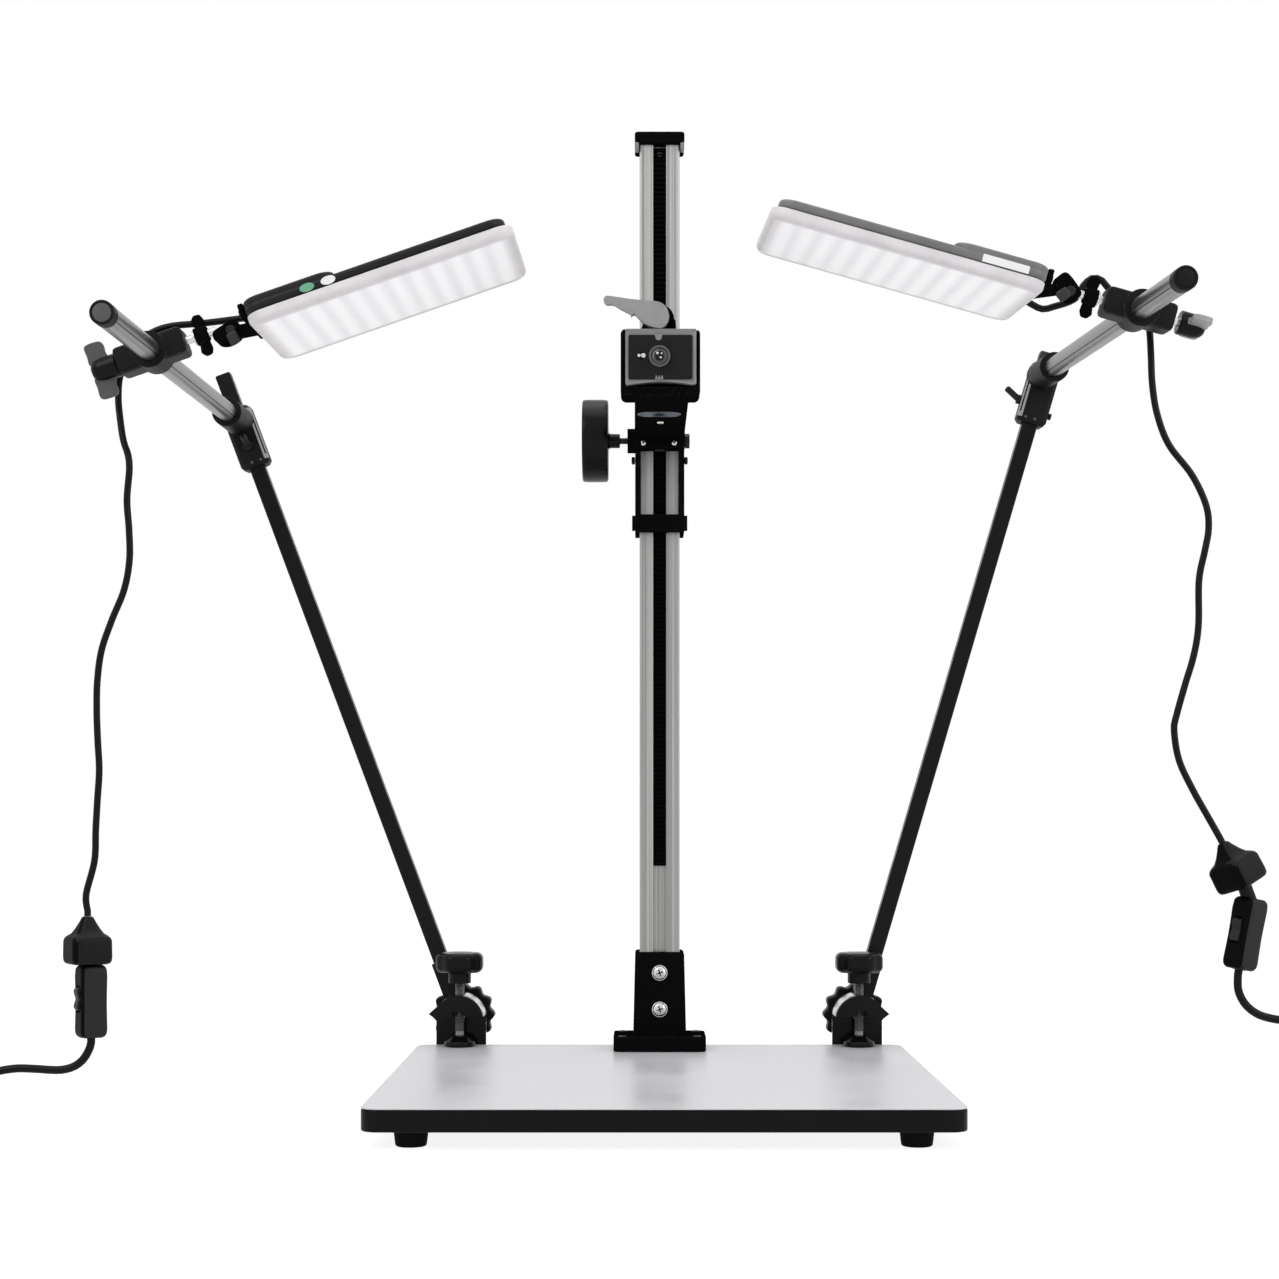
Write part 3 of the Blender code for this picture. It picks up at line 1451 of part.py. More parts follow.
def make_lamp(stand, roll_axis):
    """The lamp's housing with its cord gland, and the tray that holds its diffuser."""
    inward, name = -stand.side, stand.name
    place = panel_frame(stand)
    shell_length = LAMP_LENGTH - HOUSING_INSET
    shell_middle = inward * (stand.lamp_start + shell_length / 2)
    housing = slab(
        f"lamp_housing_{name}",
        [rounded_rectangle(shell_length, LAMP_DEPTH, LAMP_CORNER)],
        HOUSING_THICKNESS,
        place @ at(shell_middle, stand.lamp_shift, TRAY_TOP + HOUSING_THICKNESS / 2),
    )
    soften(housing, 0.0025, 2)
    hump_bottom = TRAY_TOP + HOUSING_THICKNESS / 2
    hump_top = TRAY_TOP + HOUSING_THICKNESS + HUMP_RISE
    hump_middle = inward * (stand.lamp_start + HUMP_LENGTH / 2)
    hump = slab(
        f"lamp_hump_{name}",
        [rounded_rectangle(HUMP_LENGTH, LAMP_DEPTH - 0.001, LAMP_CORNER)],
        hump_top - hump_bottom,
        place @ at(hump_middle, stand.lamp_shift, (hump_bottom + hump_top) / 2),
    )
    soften(hump, 0.002, 1)
    x, y, z = stand.gland
    aim = Vector((inward * stand.gland_aim[0], 0.0, stand.gland_aim[2])).normalized()
    mouth = Vector((inward * x, y, z))
    root = mouth - aim * GLAND_LENGTH
    gland = cylinder(f"cord_gland_{name}", root, mouth, GLAND_RADIUS, place, 20)
    join(housing, hump, gland)
    if z > hump_top:
        riser_start = stand.lamp_start + 0.001
        edges = sorted((inward * riser_start, inward * (riser_start + RISER_LENGTH)))
        riser = block(
            f"gland_riser_{name}",
            (edges[0], y - RISER_WIDTH / 2, hump_bottom),
            (edges[1], y + RISER_WIDTH / 2, z + RISER_WALL),
            place,
        )
        join(housing, riser)
    finish(housing, BLACK_PLASTIC, roll_axis)
    middle = inward * (stand.lamp_start + LAMP_LENGTH / 2)
    tray = slab(
        f"lamp_diffuser_{name}",
        [rounded_rectangle(LAMP_LENGTH, LAMP_DEPTH, LAMP_CORNER)],
        TRAY_THICKNESS,
        place @ at(middle, stand.lamp_shift, TRAY_TOP - GAP - TRAY_THICKNESS / 2),
    )
    soften(tray, 0.0015, 1)
    finish(tray, DIFFUSER, roll_axis)


def cord_plane():
    """The frame of the plane that the cords hang in."""
    return at(0, CORD_Y, 0)


def switch_frame(stand):
    """The frame of a cord's switch, at its top."""
    return cord_plane() @ Matrix.Translation(stand.switch_top) @ turned_frame(stand.switch_tilt, "Y")


def make_cords(stand):
    """The lamp cord, its plug and switch, and the mains lead with its coil and plug."""
    name = stand.name
    inward = -stand.side
    x, y, z = stand.gland
    aim = Vector((inward * stand.gland_aim[0], 0.0, stand.gland_aim[2])).normalized()
    mouth = Vector((inward * x, y, z))
    place = panel_frame(stand)
    plug_place = cord_plane() @ Matrix.Translation(stand.plug_top) @ turned_frame(stand.plug_tilt, "Y")
    route = [place @ (mouth + aim * reach) for reach in (GAP, 0.004)]
    route += [cord_plane() @ Vector(point) for point in stand.cord_route]
    route += [plug_place @ Vector((0, 0, 0.004)), plug_place @ Vector((0, 0, GAP))]
    cord = tube(f"lamp_cord_{name}", smooth_route(route, CORD_SPACING), CORD_RADIUS)
    finish(cord, BLACK_PLASTIC)
    make_plug(stand, plug_place)
    make_switch(stand, plug_place)
    make_mains(stand)


def make_plug(stand, place):
    """The plug at the end of a lamp cord: a tent-shaped grip on a wide rim."""
    name = stand.name
    place = place @ turned_frame(PLUG_YAW, "Z")
    plug = square_cone(
        f"lamp_plug_{name}",
        (0, 0, -PLUG_TENT_HEIGHT - 0.001),
        (0, 0, 0),
        PLUG_TENT_SIDE,
        PLUG_TOP_SIDE,
        place,
    )
    soften(plug, 0.002, 2)
    rim_top = -PLUG_TENT_HEIGHT + 0.0005
    rim = slab(
        f"plug_rim_{name}",
        [rounded_rectangle(PLUG_WIDTH, PLUG_DEPTH, PLUG_CORNER, 4)],
        rim_top + PLUG_LENGTH,
        place @ at(0, 0, (rim_top - PLUG_LENGTH) / 2),
    )
    soften(rim, 0.002, 2)
    join(plug, rim)
    finish(plug, BLACK_PLASTIC)


def make_switch(stand, plug_place):
    """The switch below the plug, with its rocker on the outer side."""
    name = stand.name
    place = switch_frame(stand) @ turned_frame(PLUG_YAW, "Z")
    outline = rounded_rectangle(SWITCH_WIDTH, SWITCH_DEPTH, 0.003, 3)
    body = slab(
        f"inline_switch_{name}", [outline], SWITCH_LENGTH, place @ at(0, 0, -SWITCH_LENGTH / 2)
    )
    soften(body, 0.0025, 2)
    plug_face = plug_place @ Vector((0, 0, -PLUG_LENGTH - GAP))
    plug_near = plug_place @ Vector((0, 0, -PLUG_LENGTH - 0.001))
    inside = place @ Vector((0, 0, -0.006))
    neck = as_mesh(tube(f"switch_neck_{name}", [inside, plug_near, plug_face], SWITCH_NECK_RADIUS))
    join(body, neck)
    side = -SWITCH_WIDTH / 2
    pocket_half = ROCKER_LENGTH / 2 + ROCKER_ROOM
    width_half = ROCKER_WIDTH / 2 + GAP
    pocket = block(
        f"rocker_pocket_{name}",
        (side - 0.01, -width_half, -ROCKER_DROP - pocket_half),
        (side + ROCKER_SINK + ROCKER_ROOM, width_half, -ROCKER_DROP + pocket_half),
        place,
    )
    cut(body, pocket)
    finish(body, BLACK_PLASTIC)
    axis = carrier(f"rocker_axis_{name}", place @ at(side + ROCKER_SINK, 0, -ROCKER_DROP))
    half = ROCKER_LENGTH / 2
    outline = [
        (ROCKER_SINK, -half + 0.003),
        (ROCKER_SINK, half - 0.003),
        (0.0004, half),
        (-ROCKER_RISE, half * 0.55),
        (-0.0002, 0.0),
        (-ROCKER_RISE, -half * 0.55),
        (0.0004, -half),
    ]
    rocker = slab(
        f"switch_rocker_{name}",
        [outline],
        ROCKER_WIDTH,
        place @ at(side, 0, -ROCKER_DROP) @ UPRIGHT_AXES,
    )
    finish(rocker, BLACK_PLASTIC, axis)


def make_mains(stand):
    """The mains lead from the switch to its coil on the ground, and the mains plug."""
    name, side = stand.name, stand.side
    switch = switch_frame(stand)
    coil_back = COIL_Y + (COIL_INNER + COIL_OUTER) / 2
    coil_middle = GROUND_Z + COIL_HEIGHT / 2
    entry = COIL_X - coil_reach(LEAD_RADIUS)
    route = [switch @ Vector((0, 0, -SWITCH_LENGTH - GAP)), switch @ Vector((0, 0, -SWITCH_LENGTH - 0.004))]
    route += [cord_plane() @ Vector(point) for point in stand.lead_route]
    route += [(side * entry, coil_back, coil_middle)]
    lead = tube(f"mains_lead_{name}", smooth_route(route, LEAD_SPACING), LEAD_RADIUS)
    finish(lead, BLACK_PLASTIC)
    edge = 0.003
    profile = [
        (COIL_INNER + edge, COIL_HEIGHT),
        (COIL_OUTER - edge, COIL_HEIGHT),
        (COIL_OUTER, COIL_HEIGHT - edge),
        (COIL_OUTER, edge),
        (COIL_OUTER - edge, 0),
        (COIL_INNER + edge, 0),
        (COIL_INNER, edge),
        (COIL_INNER, COIL_HEIGHT - edge),
        (COIL_INNER + edge, COIL_HEIGHT),
    ]
    coil = turned(f"lead_coil_{name}", profile, at(side * COIL_X, COIL_Y, GROUND_Z), 28)
    finish(coil, BLACK_PLASTIC)
    make_mains_plug(stand)


def coil_reach(radius):
    """How far from the coil's middle a round end of this radius meets its outer face, halfway across."""
    inner_edge = (COIL_INNER + COIL_OUTER) / 2 - radius
    return math.sqrt(COIL_OUTER**2 - inner_edge**2) + GAP


def make_mains_plug(stand):
    """A two-blade plug that lies beside the coil, where the lead leaves it."""
    name, side = stand.name, stand.side
    entry = COIL_X - coil_reach(RELIEF_RADIUS)
    coil_front = COIL_Y - (COIL_INNER + COIL_OUTER) / 2
    place = at(side * entry, coil_front, GROUND_Z + MAINS_HEIGHT / 2)
    body_start = -side * RELIEF_LENGTH
    body_end = -side * (RELIEF_LENGTH + MAINS_LENGTH)
    edges = sorted((body_start, body_end))
    plug = block(
        f"mains_plug_{name}",
        (edges[0], -MAINS_WIDTH / 2, -MAINS_HEIGHT / 2),
        (edges[1], MAINS_WIDTH / 2, MAINS_HEIGHT / 2),
        place,
    )
    soften(plug, 0.003, 2)
    relief = cone(
        f"mains_relief_{name}",
        (0, 0, 0),
        (body_start - side * 0.003, 0, 0),
        RELIEF_RADIUS,
        RELIEF_RADIUS + 0.002,
        place,
        20,
    )
    join(plug, relief)
    for n, y in enumerate((-BLADE_SPACING / 2, BLADE_SPACING / 2)):
        edges = sorted((body_end + side * 0.003, body_end - side * BLADE_LENGTH))
        blade = block(
            f"mains_blade_{name}_{n}",
            (edges[0], y - BLADE_THICKNESS / 2, -BLADE_WIDTH / 2),
            (edges[1], y + BLADE_THICKNESS / 2, BLADE_WIDTH / 2),
            place,
        )
        join(plug, blade)
    finish(plug, BLACK_PLASTIC)


def make_stand(stand):
    """One light stand, from its clamp to its lamp and cords."""
    name = stand.name
    make_clamp(stand)
    arm_axis = carrier(f"arm_axis_{name}", pivot_frame(stand))
    make_arm(stand, arm_axis)
    elbow_axis = carrier(f"elbow_axis_{name}", elbow_frame(stand), arm_axis)
    make_elbow(stand, elbow_axis)
    rod_axis = carrier(f"rod_axis_{name}", rod_frame(stand), elbow_axis)
    make_rod(stand, rod_axis)
    clamp_axis = carrier(f"rod_clamp_axis_{name}", lamp_frame(stand), rod_axis)
    make_rod_clamp(stand, clamp_axis)
    make_wing_knob(stand, clamp_axis)
    roll_axis = carrier(f"lamp_roll_axis_{name}", lamp_frame(stand), clamp_axis)
    make_knuckle(stand, roll_axis)
    make_lamp(stand, roll_axis)
    make_cords(stand)


def main():
    """Build the whole copy stand."""
    make_board()
    make_column_bracket()
    make_column()
    make_carriage()
    for stand in (LEFT, RIGHT):
        make_stand(stand)


main()
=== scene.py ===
"""Camera copy stand: its looks, its cords, the studio and the camera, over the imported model.

Metres, +Z up. The origin is the middle of the board's top face, and +Y points to the column.
"""

import logging
import math
from collections.abc import Callable, Sequence
from dataclasses import dataclass, field, replace
from enum import Enum

import bmesh
import bpy
from mathutils import Matrix, Vector


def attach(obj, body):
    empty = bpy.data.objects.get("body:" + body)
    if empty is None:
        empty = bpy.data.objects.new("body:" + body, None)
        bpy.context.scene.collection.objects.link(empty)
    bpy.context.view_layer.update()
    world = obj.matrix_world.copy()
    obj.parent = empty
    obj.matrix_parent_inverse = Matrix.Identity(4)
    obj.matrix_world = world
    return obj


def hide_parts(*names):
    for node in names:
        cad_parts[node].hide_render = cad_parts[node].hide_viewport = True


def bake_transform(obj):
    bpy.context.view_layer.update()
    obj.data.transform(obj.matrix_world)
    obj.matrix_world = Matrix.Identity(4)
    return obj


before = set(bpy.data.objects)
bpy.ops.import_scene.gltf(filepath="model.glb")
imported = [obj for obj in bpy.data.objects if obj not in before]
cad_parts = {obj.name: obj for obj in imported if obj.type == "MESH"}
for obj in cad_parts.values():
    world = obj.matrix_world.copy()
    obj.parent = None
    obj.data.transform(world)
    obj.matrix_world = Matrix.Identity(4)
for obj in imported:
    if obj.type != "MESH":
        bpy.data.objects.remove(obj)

LOG = logging.getLogger("copy_stand")
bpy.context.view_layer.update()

Colour = tuple[float, float, float]
Point = Sequence[float]
Pair = tuple[float, float]
Outline = Sequence[Pair]
Ring = list[Pair]
Route = Sequence[Vector]
Draft = bmesh.types.BMesh
Node = bpy.types.Node
Object = bpy.types.Object
Socket = bpy.types.NodeSocket

WORLD = Matrix.Identity(4)
# Local Y up and Z to the front
UPRIGHT = Matrix(((1, 0, 0, 0), (0, 0, -1, 0), (0, 1, 0, 0), (0, 0, 0, 1)))
# Local X up, Y to the right and Z to the front of a knob that stands on local XY
EAR_SHEET = Matrix(((0, 0, 1, 0), (1, 0, 0, 0), (0, 1, 0, 0), (0, 0, 0, 1)))
GROUND_Z = -0.028
GAP = 0.0003
SIDES = (-1, 1)


def at(x: float, y: float, z: float) -> Matrix:
    """A frame moved to a point."""
    return Matrix.Translation((x, y, z))


def turned(degrees: float, axis: str) -> Matrix:
    """A frame turned about one of its axes."""
    return Matrix.Rotation(math.radians(degrees), 4, axis)


def shade(*parts: int) -> Colour:
    """The linear colour of a screen colour with parts from 0 to 255, or of a grey of one part."""
    shares = [part / 255 for part in (parts if len(parts) > 1 else parts * 3)]
    return tuple(share / 12.92 if share <= 0.04045 else ((share + 0.055) / 1.055) ** 2.4 for share in shares)


def placed(name: str, data: bpy.types.ID) -> Object:
    """A new object in the scene, at the origin."""
    obj = bpy.data.objects.new(name, data)
    bpy.context.scene.collection.objects.link(obj)
    return obj


def evaluated(obj: Object) -> bpy.types.Mesh:
    """The mesh that an object's modifiers or its curve make."""
    bpy.context.view_layer.update()
    graph = bpy.context.evaluated_depsgraph_get()
    return bpy.data.meshes.new_from_object(obj.evaluated_get(graph))


class Wires:
    """Short ways to add nodes to a node tree and join them."""

    def __init__(self, tree: bpy.types.NodeTree) -> None:
        """Work on one tree."""
        self.tree = tree

    def add(self, kind: str, **settings: object) -> Node:
        """Add a node of the given kind.

        Args:
            kind: The node's type without its ShaderNode prefix.
            settings: Properties of the node.

        Returns:
            The new node.
        """
        node = self.tree.nodes.new(f"ShaderNode{kind}")
        for name, value in settings.items():
            setattr(node, name, value)
        return node

    def put(self, value: object, socket: Socket) -> None:
        """Link a socket to an input, or set the input's own value."""
        if isinstance(value, Socket):
            self.tree.links.new(value, socket)
        elif socket.type == "RGBA" and len(value) == 3:
            socket.default_value = (*value, 1.0)
        else:
            socket.default_value = value

    def fill(self, node: Node, values: dict[int | str, object]) -> Node:
        """Put values into a node's inputs, by their names or numbers."""
        for key, value in values.items():
            self.put(value, node.inputs[key])
        return node

    def maths(self, operation: str, *values: object) -> Socket:
        """A Math node's result from sockets or numbers."""
        return self.fill(self.add("Math", operation=operation), dict(enumerate(values))).outputs[0]

    def product(self, first: object, second: object) -> Socket:
        """Two values multiplied."""
        return self.maths("MULTIPLY", first, second)

    def shared(self, first: object, share: float, second: object) -> Socket:
        """A share of one value with the rest from another."""
        return self.maths("MULTIPLY_ADD", first, share, self.product(second, 1 - share))

    def mix(self, factor: object, first: object, second: object) -> Socket:
        """A colour between two colours."""
        return self.fill(self.add("Mix", data_type="RGBA"), {0: factor, 6: first, 7: second}).outputs[2]

    def spread(self, value: object, low: float, high: float, start: float = 0.0, end: float = 1.0) -> Socket:
        """A value moved smoothly from the range low to high into the range start to end."""
        node = self.add("MapRange", interpolation_type="SMOOTHSTEP")
        return self.fill(node, dict(enumerate((value, low, high, start, end)))).outputs[0]

    def noise(self, vector: object, scale: float, detail: float = 3.0, rough: float = 0.55) -> Socket:
        """The value of a noise pattern."""
        values = {"Vector": vector, "Scale": scale, "Detail": detail, "Roughness": rough}
        return self.fill(self.add("TexNoise"), values).outputs[0]

    def stretched(self, vector: object, scale: Point) -> Socket:
        """A vector with each part multiplied."""
        return self.fill(self.add("Mapping"), {"Vector": vector, "Scale": scale}).outputs[0]

    def split(self, vector: object) -> Node:
        """The node that holds a vector's parts."""
        node = self.add("SeparateXYZ")
        return self.fill(node, {0: vector})

    def blend(self, factor: Socket, first: Node, second: Node, output: Node) -> None:
        """Mix two shaders into an output's surface."""
        node = self.fill(self.add("MixShader"), {0: factor, 1: first.outputs[0], 2: second.outputs[0]})
        self.put(node.outputs[0], output.inputs["Surface"])


class Texture(Enum):
    """The surface patterns of the object's finishes."""

    CAST = "cast grain"
    MOULDED = "moulded grain"
    PAINT = "painted skin"
    RUBBER = "rubber skin"
    BRUSHED = "brushed lines"
    TURNED = "ground skin"
    LAMINATE = "laminate fleck"
    RIBBED = "ribbed rubber"


class Effects:
    """The shader node groups that the finishes share, each made once."""

    made: dict[str, bpy.types.NodeTree] = {}

    @classmethod
    def group(
        cls,
        name: str,
        inputs: dict[str, str],
        outputs: dict[str, str],
        fill: Callable[[Wires, Node, Node], None],
    ) -> bpy.types.NodeTree:
        """A node group, made when it is first asked for.

        Args:
            name: The group's name.
            inputs: Its inputs and their socket types.
            outputs: Its outputs and their socket types.
            fill: Adds the nodes between the group's input and output nodes.

        Returns:
            The group's tree.
        """
        if name not in cls.made:
            tree = bpy.data.node_groups.new(name, "ShaderNodeTree")
            for way, sockets in (("INPUT", inputs), ("OUTPUT", outputs)):
                for label, kind in sockets.items():
                    tree.interface.new_socket(label, in_out=way, socket_type=f"NodeSocket{kind}")
            source = tree.nodes.new("NodeGroupInput")
            target = tree.nodes.new("NodeGroupOutput")
            fill(Wires(tree), source, target)
            cls.made[name] = tree
        return cls.made[name]

    @classmethod
    def texture(cls, texture: Texture) -> bpy.types.NodeTree:
        """The group of a surface pattern, with a height and a tone."""

        def fill(wires: Wires, source: Node, target: Node) -> None:
            """Add the pattern's nodes."""
            height, tone = cls.pattern(wires, texture, source.outputs["Vector"])
            wires.fill(target, {"Height": height, "Tone": tone})

        return cls.group(texture.value, {"Vector": "Vector"}, {"Height": "Float", "Tone": "Float"}, fill)

    @staticmethod
    def pattern(wires: Wires, texture: Texture, vector: Socket) -> tuple[Socket, Socket]:
        """The height and the tone of one pattern, both from 0 to 1."""
        blotch = wires.noise(vector, 55.0)
        if texture is Texture.CAST:
            grain = wires.noise(vector, 1500.0, 4.0, 0.6)
            pits = wires.spread(wires.noise(vector, 520.0, 2.0), 0.34, 0.5)
            return wires.product(grain, pits), wires.shared(grain, 0.5, blotch)
        if texture is Texture.MOULDED:
            grain = wires.noise(vector, 2600.0, 3.0, 0.5)
            return grain, wires.shared(grain, 0.3, blotch)
        if texture is Texture.PAINT:
            return wires.noise(vector, 420.0, 1.0, 0.4), blotch
        if texture is Texture.RUBBER:
            skin = wires.noise(vector, 1100.0, 5.0, 0.7)
            return skin, wires.shared(skin, 0.5, blotch)
        if texture is Texture.BRUSHED:
            lines = wires.noise(wires.stretched(vector, (1.0, 1.0, 0.003)), 2200.0, 3.0, 0.7)
            broad = wires.noise(wires.stretched(vector, (1.0, 1.0, 0.002)), 620.0, 2.0, 0.6)
            return lines, wires.shared(lines, 0.45, wires.spread(broad, 0.34, 0.66))
        if texture is Texture.TURNED:
            lines = wires.noise(wires.stretched(vector, (0.05, 0.05, 1.0)), 3200.0, 2.0, 0.7)
            return lines, wires.shared(lines, 0.6, blotch)
        if texture is Texture.LAMINATE:
            fleck = wires.spread(wires.noise(vector, 950.0, 2.0, 0.6), 0.55, 0.72)
            cloud = wires.noise(vector, 9.0)
            peel = wires.noise(vector, 260.0, 2.0)
            return peel, wires.maths("SUBTRACT", cloud, wires.product(fleck, 0.35))
        wave = wires.fill(wires.add("TexWave", bands_direction="Z"), {"Vector": vector, "Scale": 330.0})
        ribs = wave.outputs[1]
        return ribs, wires.shared(ribs, 0.6, blotch)

    @classmethod
    def soft_edge(cls) -> bpy.types.NodeTree:
        """The group that rounds the light on edges and marks them."""

        def fill(wires: Wires, source: Node, target: Node) -> None:
            """Add the nodes."""
            bevel = wires.fill(wires.add("Bevel", samples=6), {"Radius": source.outputs["Radius"]})
            normal = wires.add("NewGeometry").outputs["Normal"]
            facing = wires.add("VectorMath", operation="DOT_PRODUCT")
            wires.fill(facing, {0: bevel.outputs[0], 1: normal})
            # The edge mask, broken up by noise, carries both real edge wear and painted edge highlights.
            rim = wires.spread(facing.outputs["Value"], 0.99, 0.86)
            chip_and_sheen_breakup = wires.spread(wires.noise(source.outputs["Vector"], 330.0, 4.0, 0.7), 0.4, 0.62)
            wires.fill(target, {"Mask": wires.product(rim, chip_and_sheen_breakup), "Normal": bevel.outputs[0]})

        ways = {"Normal": "Vector", "Mask": "Float"}
        return cls.group("soft edge", {"Vector": "Vector", "Radius": "Float"}, ways, fill)


@dataclass(frozen=True)
class Finish:
    """One finish: its colour, its gloss and the pattern in it.

    The worn_and_sheen_level colour shows on edges, by the share `wear_and_sheen_share`: partly real wear,
    partly painted highlight that shows the edges of dark pieces. The pattern's axes are turned by `turn`,
    three angles in degrees, where a piece doesn't stand upright.
    """

    name: str
    colour: Colour
    roughness: float
    texture: Texture
    metallic: float = 0.0
    bump: float = 0.00006
    tone: float = 0.12
    gloss_change: float = 0.08
    worn_and_sheen_level: float = 0.1
    wear_and_sheen_share: float = 0.0
    specular: float = 0.5
    edge: float = 0.0005
    turn: tuple[float, float, float] = (0.0, 0.0, 0.0)
    slot: str = "black_plastic"

    def material(self) -> bpy.types.Material:
        """The finish's material, made once."""
        return bpy.data.materials.get(self.name) or self.made()

    def made(self) -> bpy.types.Material:
        """A new material of the finish."""
        made = bpy.data.materials.new(self.name)
        made.use_nodes = True
        made.diffuse_color = (*self.colour, 1.0)
        wires = Wires(made.node_tree)
        surface = made.node_tree.nodes["Principled BSDF"]
        wires.fill(surface, {"Metallic": self.metallic, "Specular IOR Level": self.specular})
        vector = self.vector(wires)
        grain = wires.fill(wires.add("Group", node_tree=Effects.texture(self.texture)), {"Vector": vector})
        tone = grain.outputs["Tone"]
        colour = self.toned(wires, tone)
        rim = wires.add("Group", node_tree=Effects.soft_edge())
        wires.fill(rim, {"Vector": vector, "Radius": self.edge})
        # Edges take a lighter colour: partly real wear, partly painted highlight.
        if self.wear_and_sheen_share:
            colour = wires.mix(wires.product(rim.outputs["Mask"], self.wear_and_sheen_share), colour, (self.worn_and_sheen_level,) * 3)
        wires.put(colour, surface.inputs["Base Color"])
        low, high = self.roughness - self.gloss_change, self.roughness + self.gloss_change
        wires.put(wires.spread(tone, 0.2, 0.8, low, high), surface.inputs["Roughness"])
        values = {"Distance": self.bump, "Height": grain.outputs["Height"], "Normal": rim.outputs["Normal"]}
        wires.put(wires.fill(wires.add("Bump"), values).outputs[0], surface.inputs["Normal"])
        return made

    def vector(self, wires: Wires) -> Socket:
        """Object coordinates, turned with the piece."""
        place = wires.add("Mapping", vector_type="TEXTURE")
        angles = [math.radians(angle) for angle in self.turn]
        wires.fill(place, {"Rotation": angles, "Vector": wires.add("TexCoord").outputs["Object"]})
        return place.outputs[0]

    def toned(self, wires: Wires, tone: Socket) -> Socket:
        """The colour, made a little darker and lighter by the pattern."""
        dark = tuple(part * (1 - self.tone) for part in self.colour)
        light = tuple(min(1.0, part * (1 + self.tone)) for part in self.colour)
        return wires.mix(wires.spread(tone, 0.2, 0.8), dark, light)

    def leaning(self, degrees: float, label: str) -> "Finish":
        """The finish with its pattern turned about Y, for a piece that leans to one side."""
        return replace(self, name=f"{self.name}_{label}", turn=(0.0, degrees, 0.0))


@dataclass(frozen=True)
class PanelGlow(Finish):
    """The frosted tray of a lamp, with the bright columns of its LEDs behind it.

    The tray's UV map holds the columns: U counts them, and V counts the rows of LEDs.
    """

    bright: Colour = (0.96, 0.95, 0.97)
    dim: Colour = (0.25, 0.25, 0.26)
    shaded: Colour = (0.42, 0.41, 0.42)
    columns: int = 12
    rows: int = 19
    glow: float = 0.14

    def made(self) -> bpy.types.Material:
        """A new material of the tray."""
        made = super().made()
        wires = Wires(made.node_tree)
        surface = made.node_tree.nodes["Principled BSDF"]
        lit = self.lit(wires)
        plain = surface.inputs["Base Color"].links[0].from_socket
        rim = wires.spread(self.counted(wires)[1], self.rows + 0.3, self.rows + 0.6, 0.0, 0.75)
        wires.put(wires.mix(rim, wires.mix(lit, plain, self.bright), self.shaded), surface.inputs["Base Color"])
        wires.put(wires.mix(lit, self.dim, self.bright), surface.inputs["Emission Color"])
        wires.put(self.glow, surface.inputs["Emission Strength"])
        return made

    @staticmethod
    def counted(wires: Wires) -> Sequence[Socket]:
        """The column and the row of each place."""
        return wires.split(wires.add("UVMap", uv_map="led_rows").outputs[0]).outputs

    @staticmethod
    def aside(wires: Wires, count: Socket) -> Socket:
        """How far each place is from the middle of its column or row."""
        return wires.maths("ABSOLUTE", wires.maths("SUBTRACT", wires.maths("FRACT", count), 0.5))

    def lit(self, wires: Wires) -> Socket:
        """How bright the LEDs make each place, from 0 to 1."""
        across, along = self.counted(wires)[:2]
        column = wires.spread(self.aside(wires, across), 0.04, 0.5, 1.0, 0.62)
        row = wires.spread(self.aside(wires, along), 0.0, 0.5, 1.0, 0.72)
        first = wires.spread(across, -0.3, 0.3)
        last = wires.spread(across, self.columns - 0.3, self.columns + 0.3, 1.0, 0.0)
        near = wires.spread(along, -0.6, 0.8)
        far = wires.spread(along, self.rows - 0.8, self.rows + 0.6, 1.0, 0.0)
        sides, ends = wires.product(first, last), wires.product(near, far)
        return wires.product(wires.product(column, row), wires.product(sides, ends))


CAST, MOULDED, PAINT, SPUN = Texture.CAST, Texture.MOULDED, Texture.PAINT, Texture.TURNED

EDGE_BAND = Finish("edge_band_black", shade(14), 0.4, PAINT, specular=0.08, edge=0.001, slot="board_core")
LAMINATE = Finish(
    "pale_laminate", shade(200, 198, 202), 0.34, Texture.LAMINATE, bump=0.00002, tone=0.05, edge=0.0003,
    slot="laminate",
)  # fmt: skip
FOOT_RUBBER = Finish("foot_rubber", shade(16), 0.8, Texture.RUBBER, specular=0.08, slot="rubber_foot")
# Matte black casting without reflection: its lighter edges are partly wear and partly painted highlight.
CAST_BLACK = Finish(
    "cast_black", shade(13, 13, 14), 0.4, CAST, worn_and_sheen_level=0.045, wear_and_sheen_share=0.5, specular=0.0, edge=0.0008,
    slot="black_cast",
)  # fmt: skip
# Its lighter edges are partly wear and partly painted highlight.
JOINT_BLACK = Finish(
    "joint_casting", shade(25, 25, 26), 0.45, CAST, worn_and_sheen_level=0.11, wear_and_sheen_share=0.6, specular=0.06, edge=0.0009,
    slot="black_cast",
)  # fmt: skip
CLAMP_BLACK = Finish(
    "clamp_black", shade(11, 11, 12), 0.17, PAINT, gloss_change=0.05, worn_and_sheen_level=0.06, wear_and_sheen_share=0.5, specular=0.12,
    edge=0.0006, slot="black_cast",
)  # fmt: skip
PLASTIC_BLACK = Finish("moulded_black", shade(14, 14, 15), 0.42, MOULDED, specular=0.1, edge=0.0006)
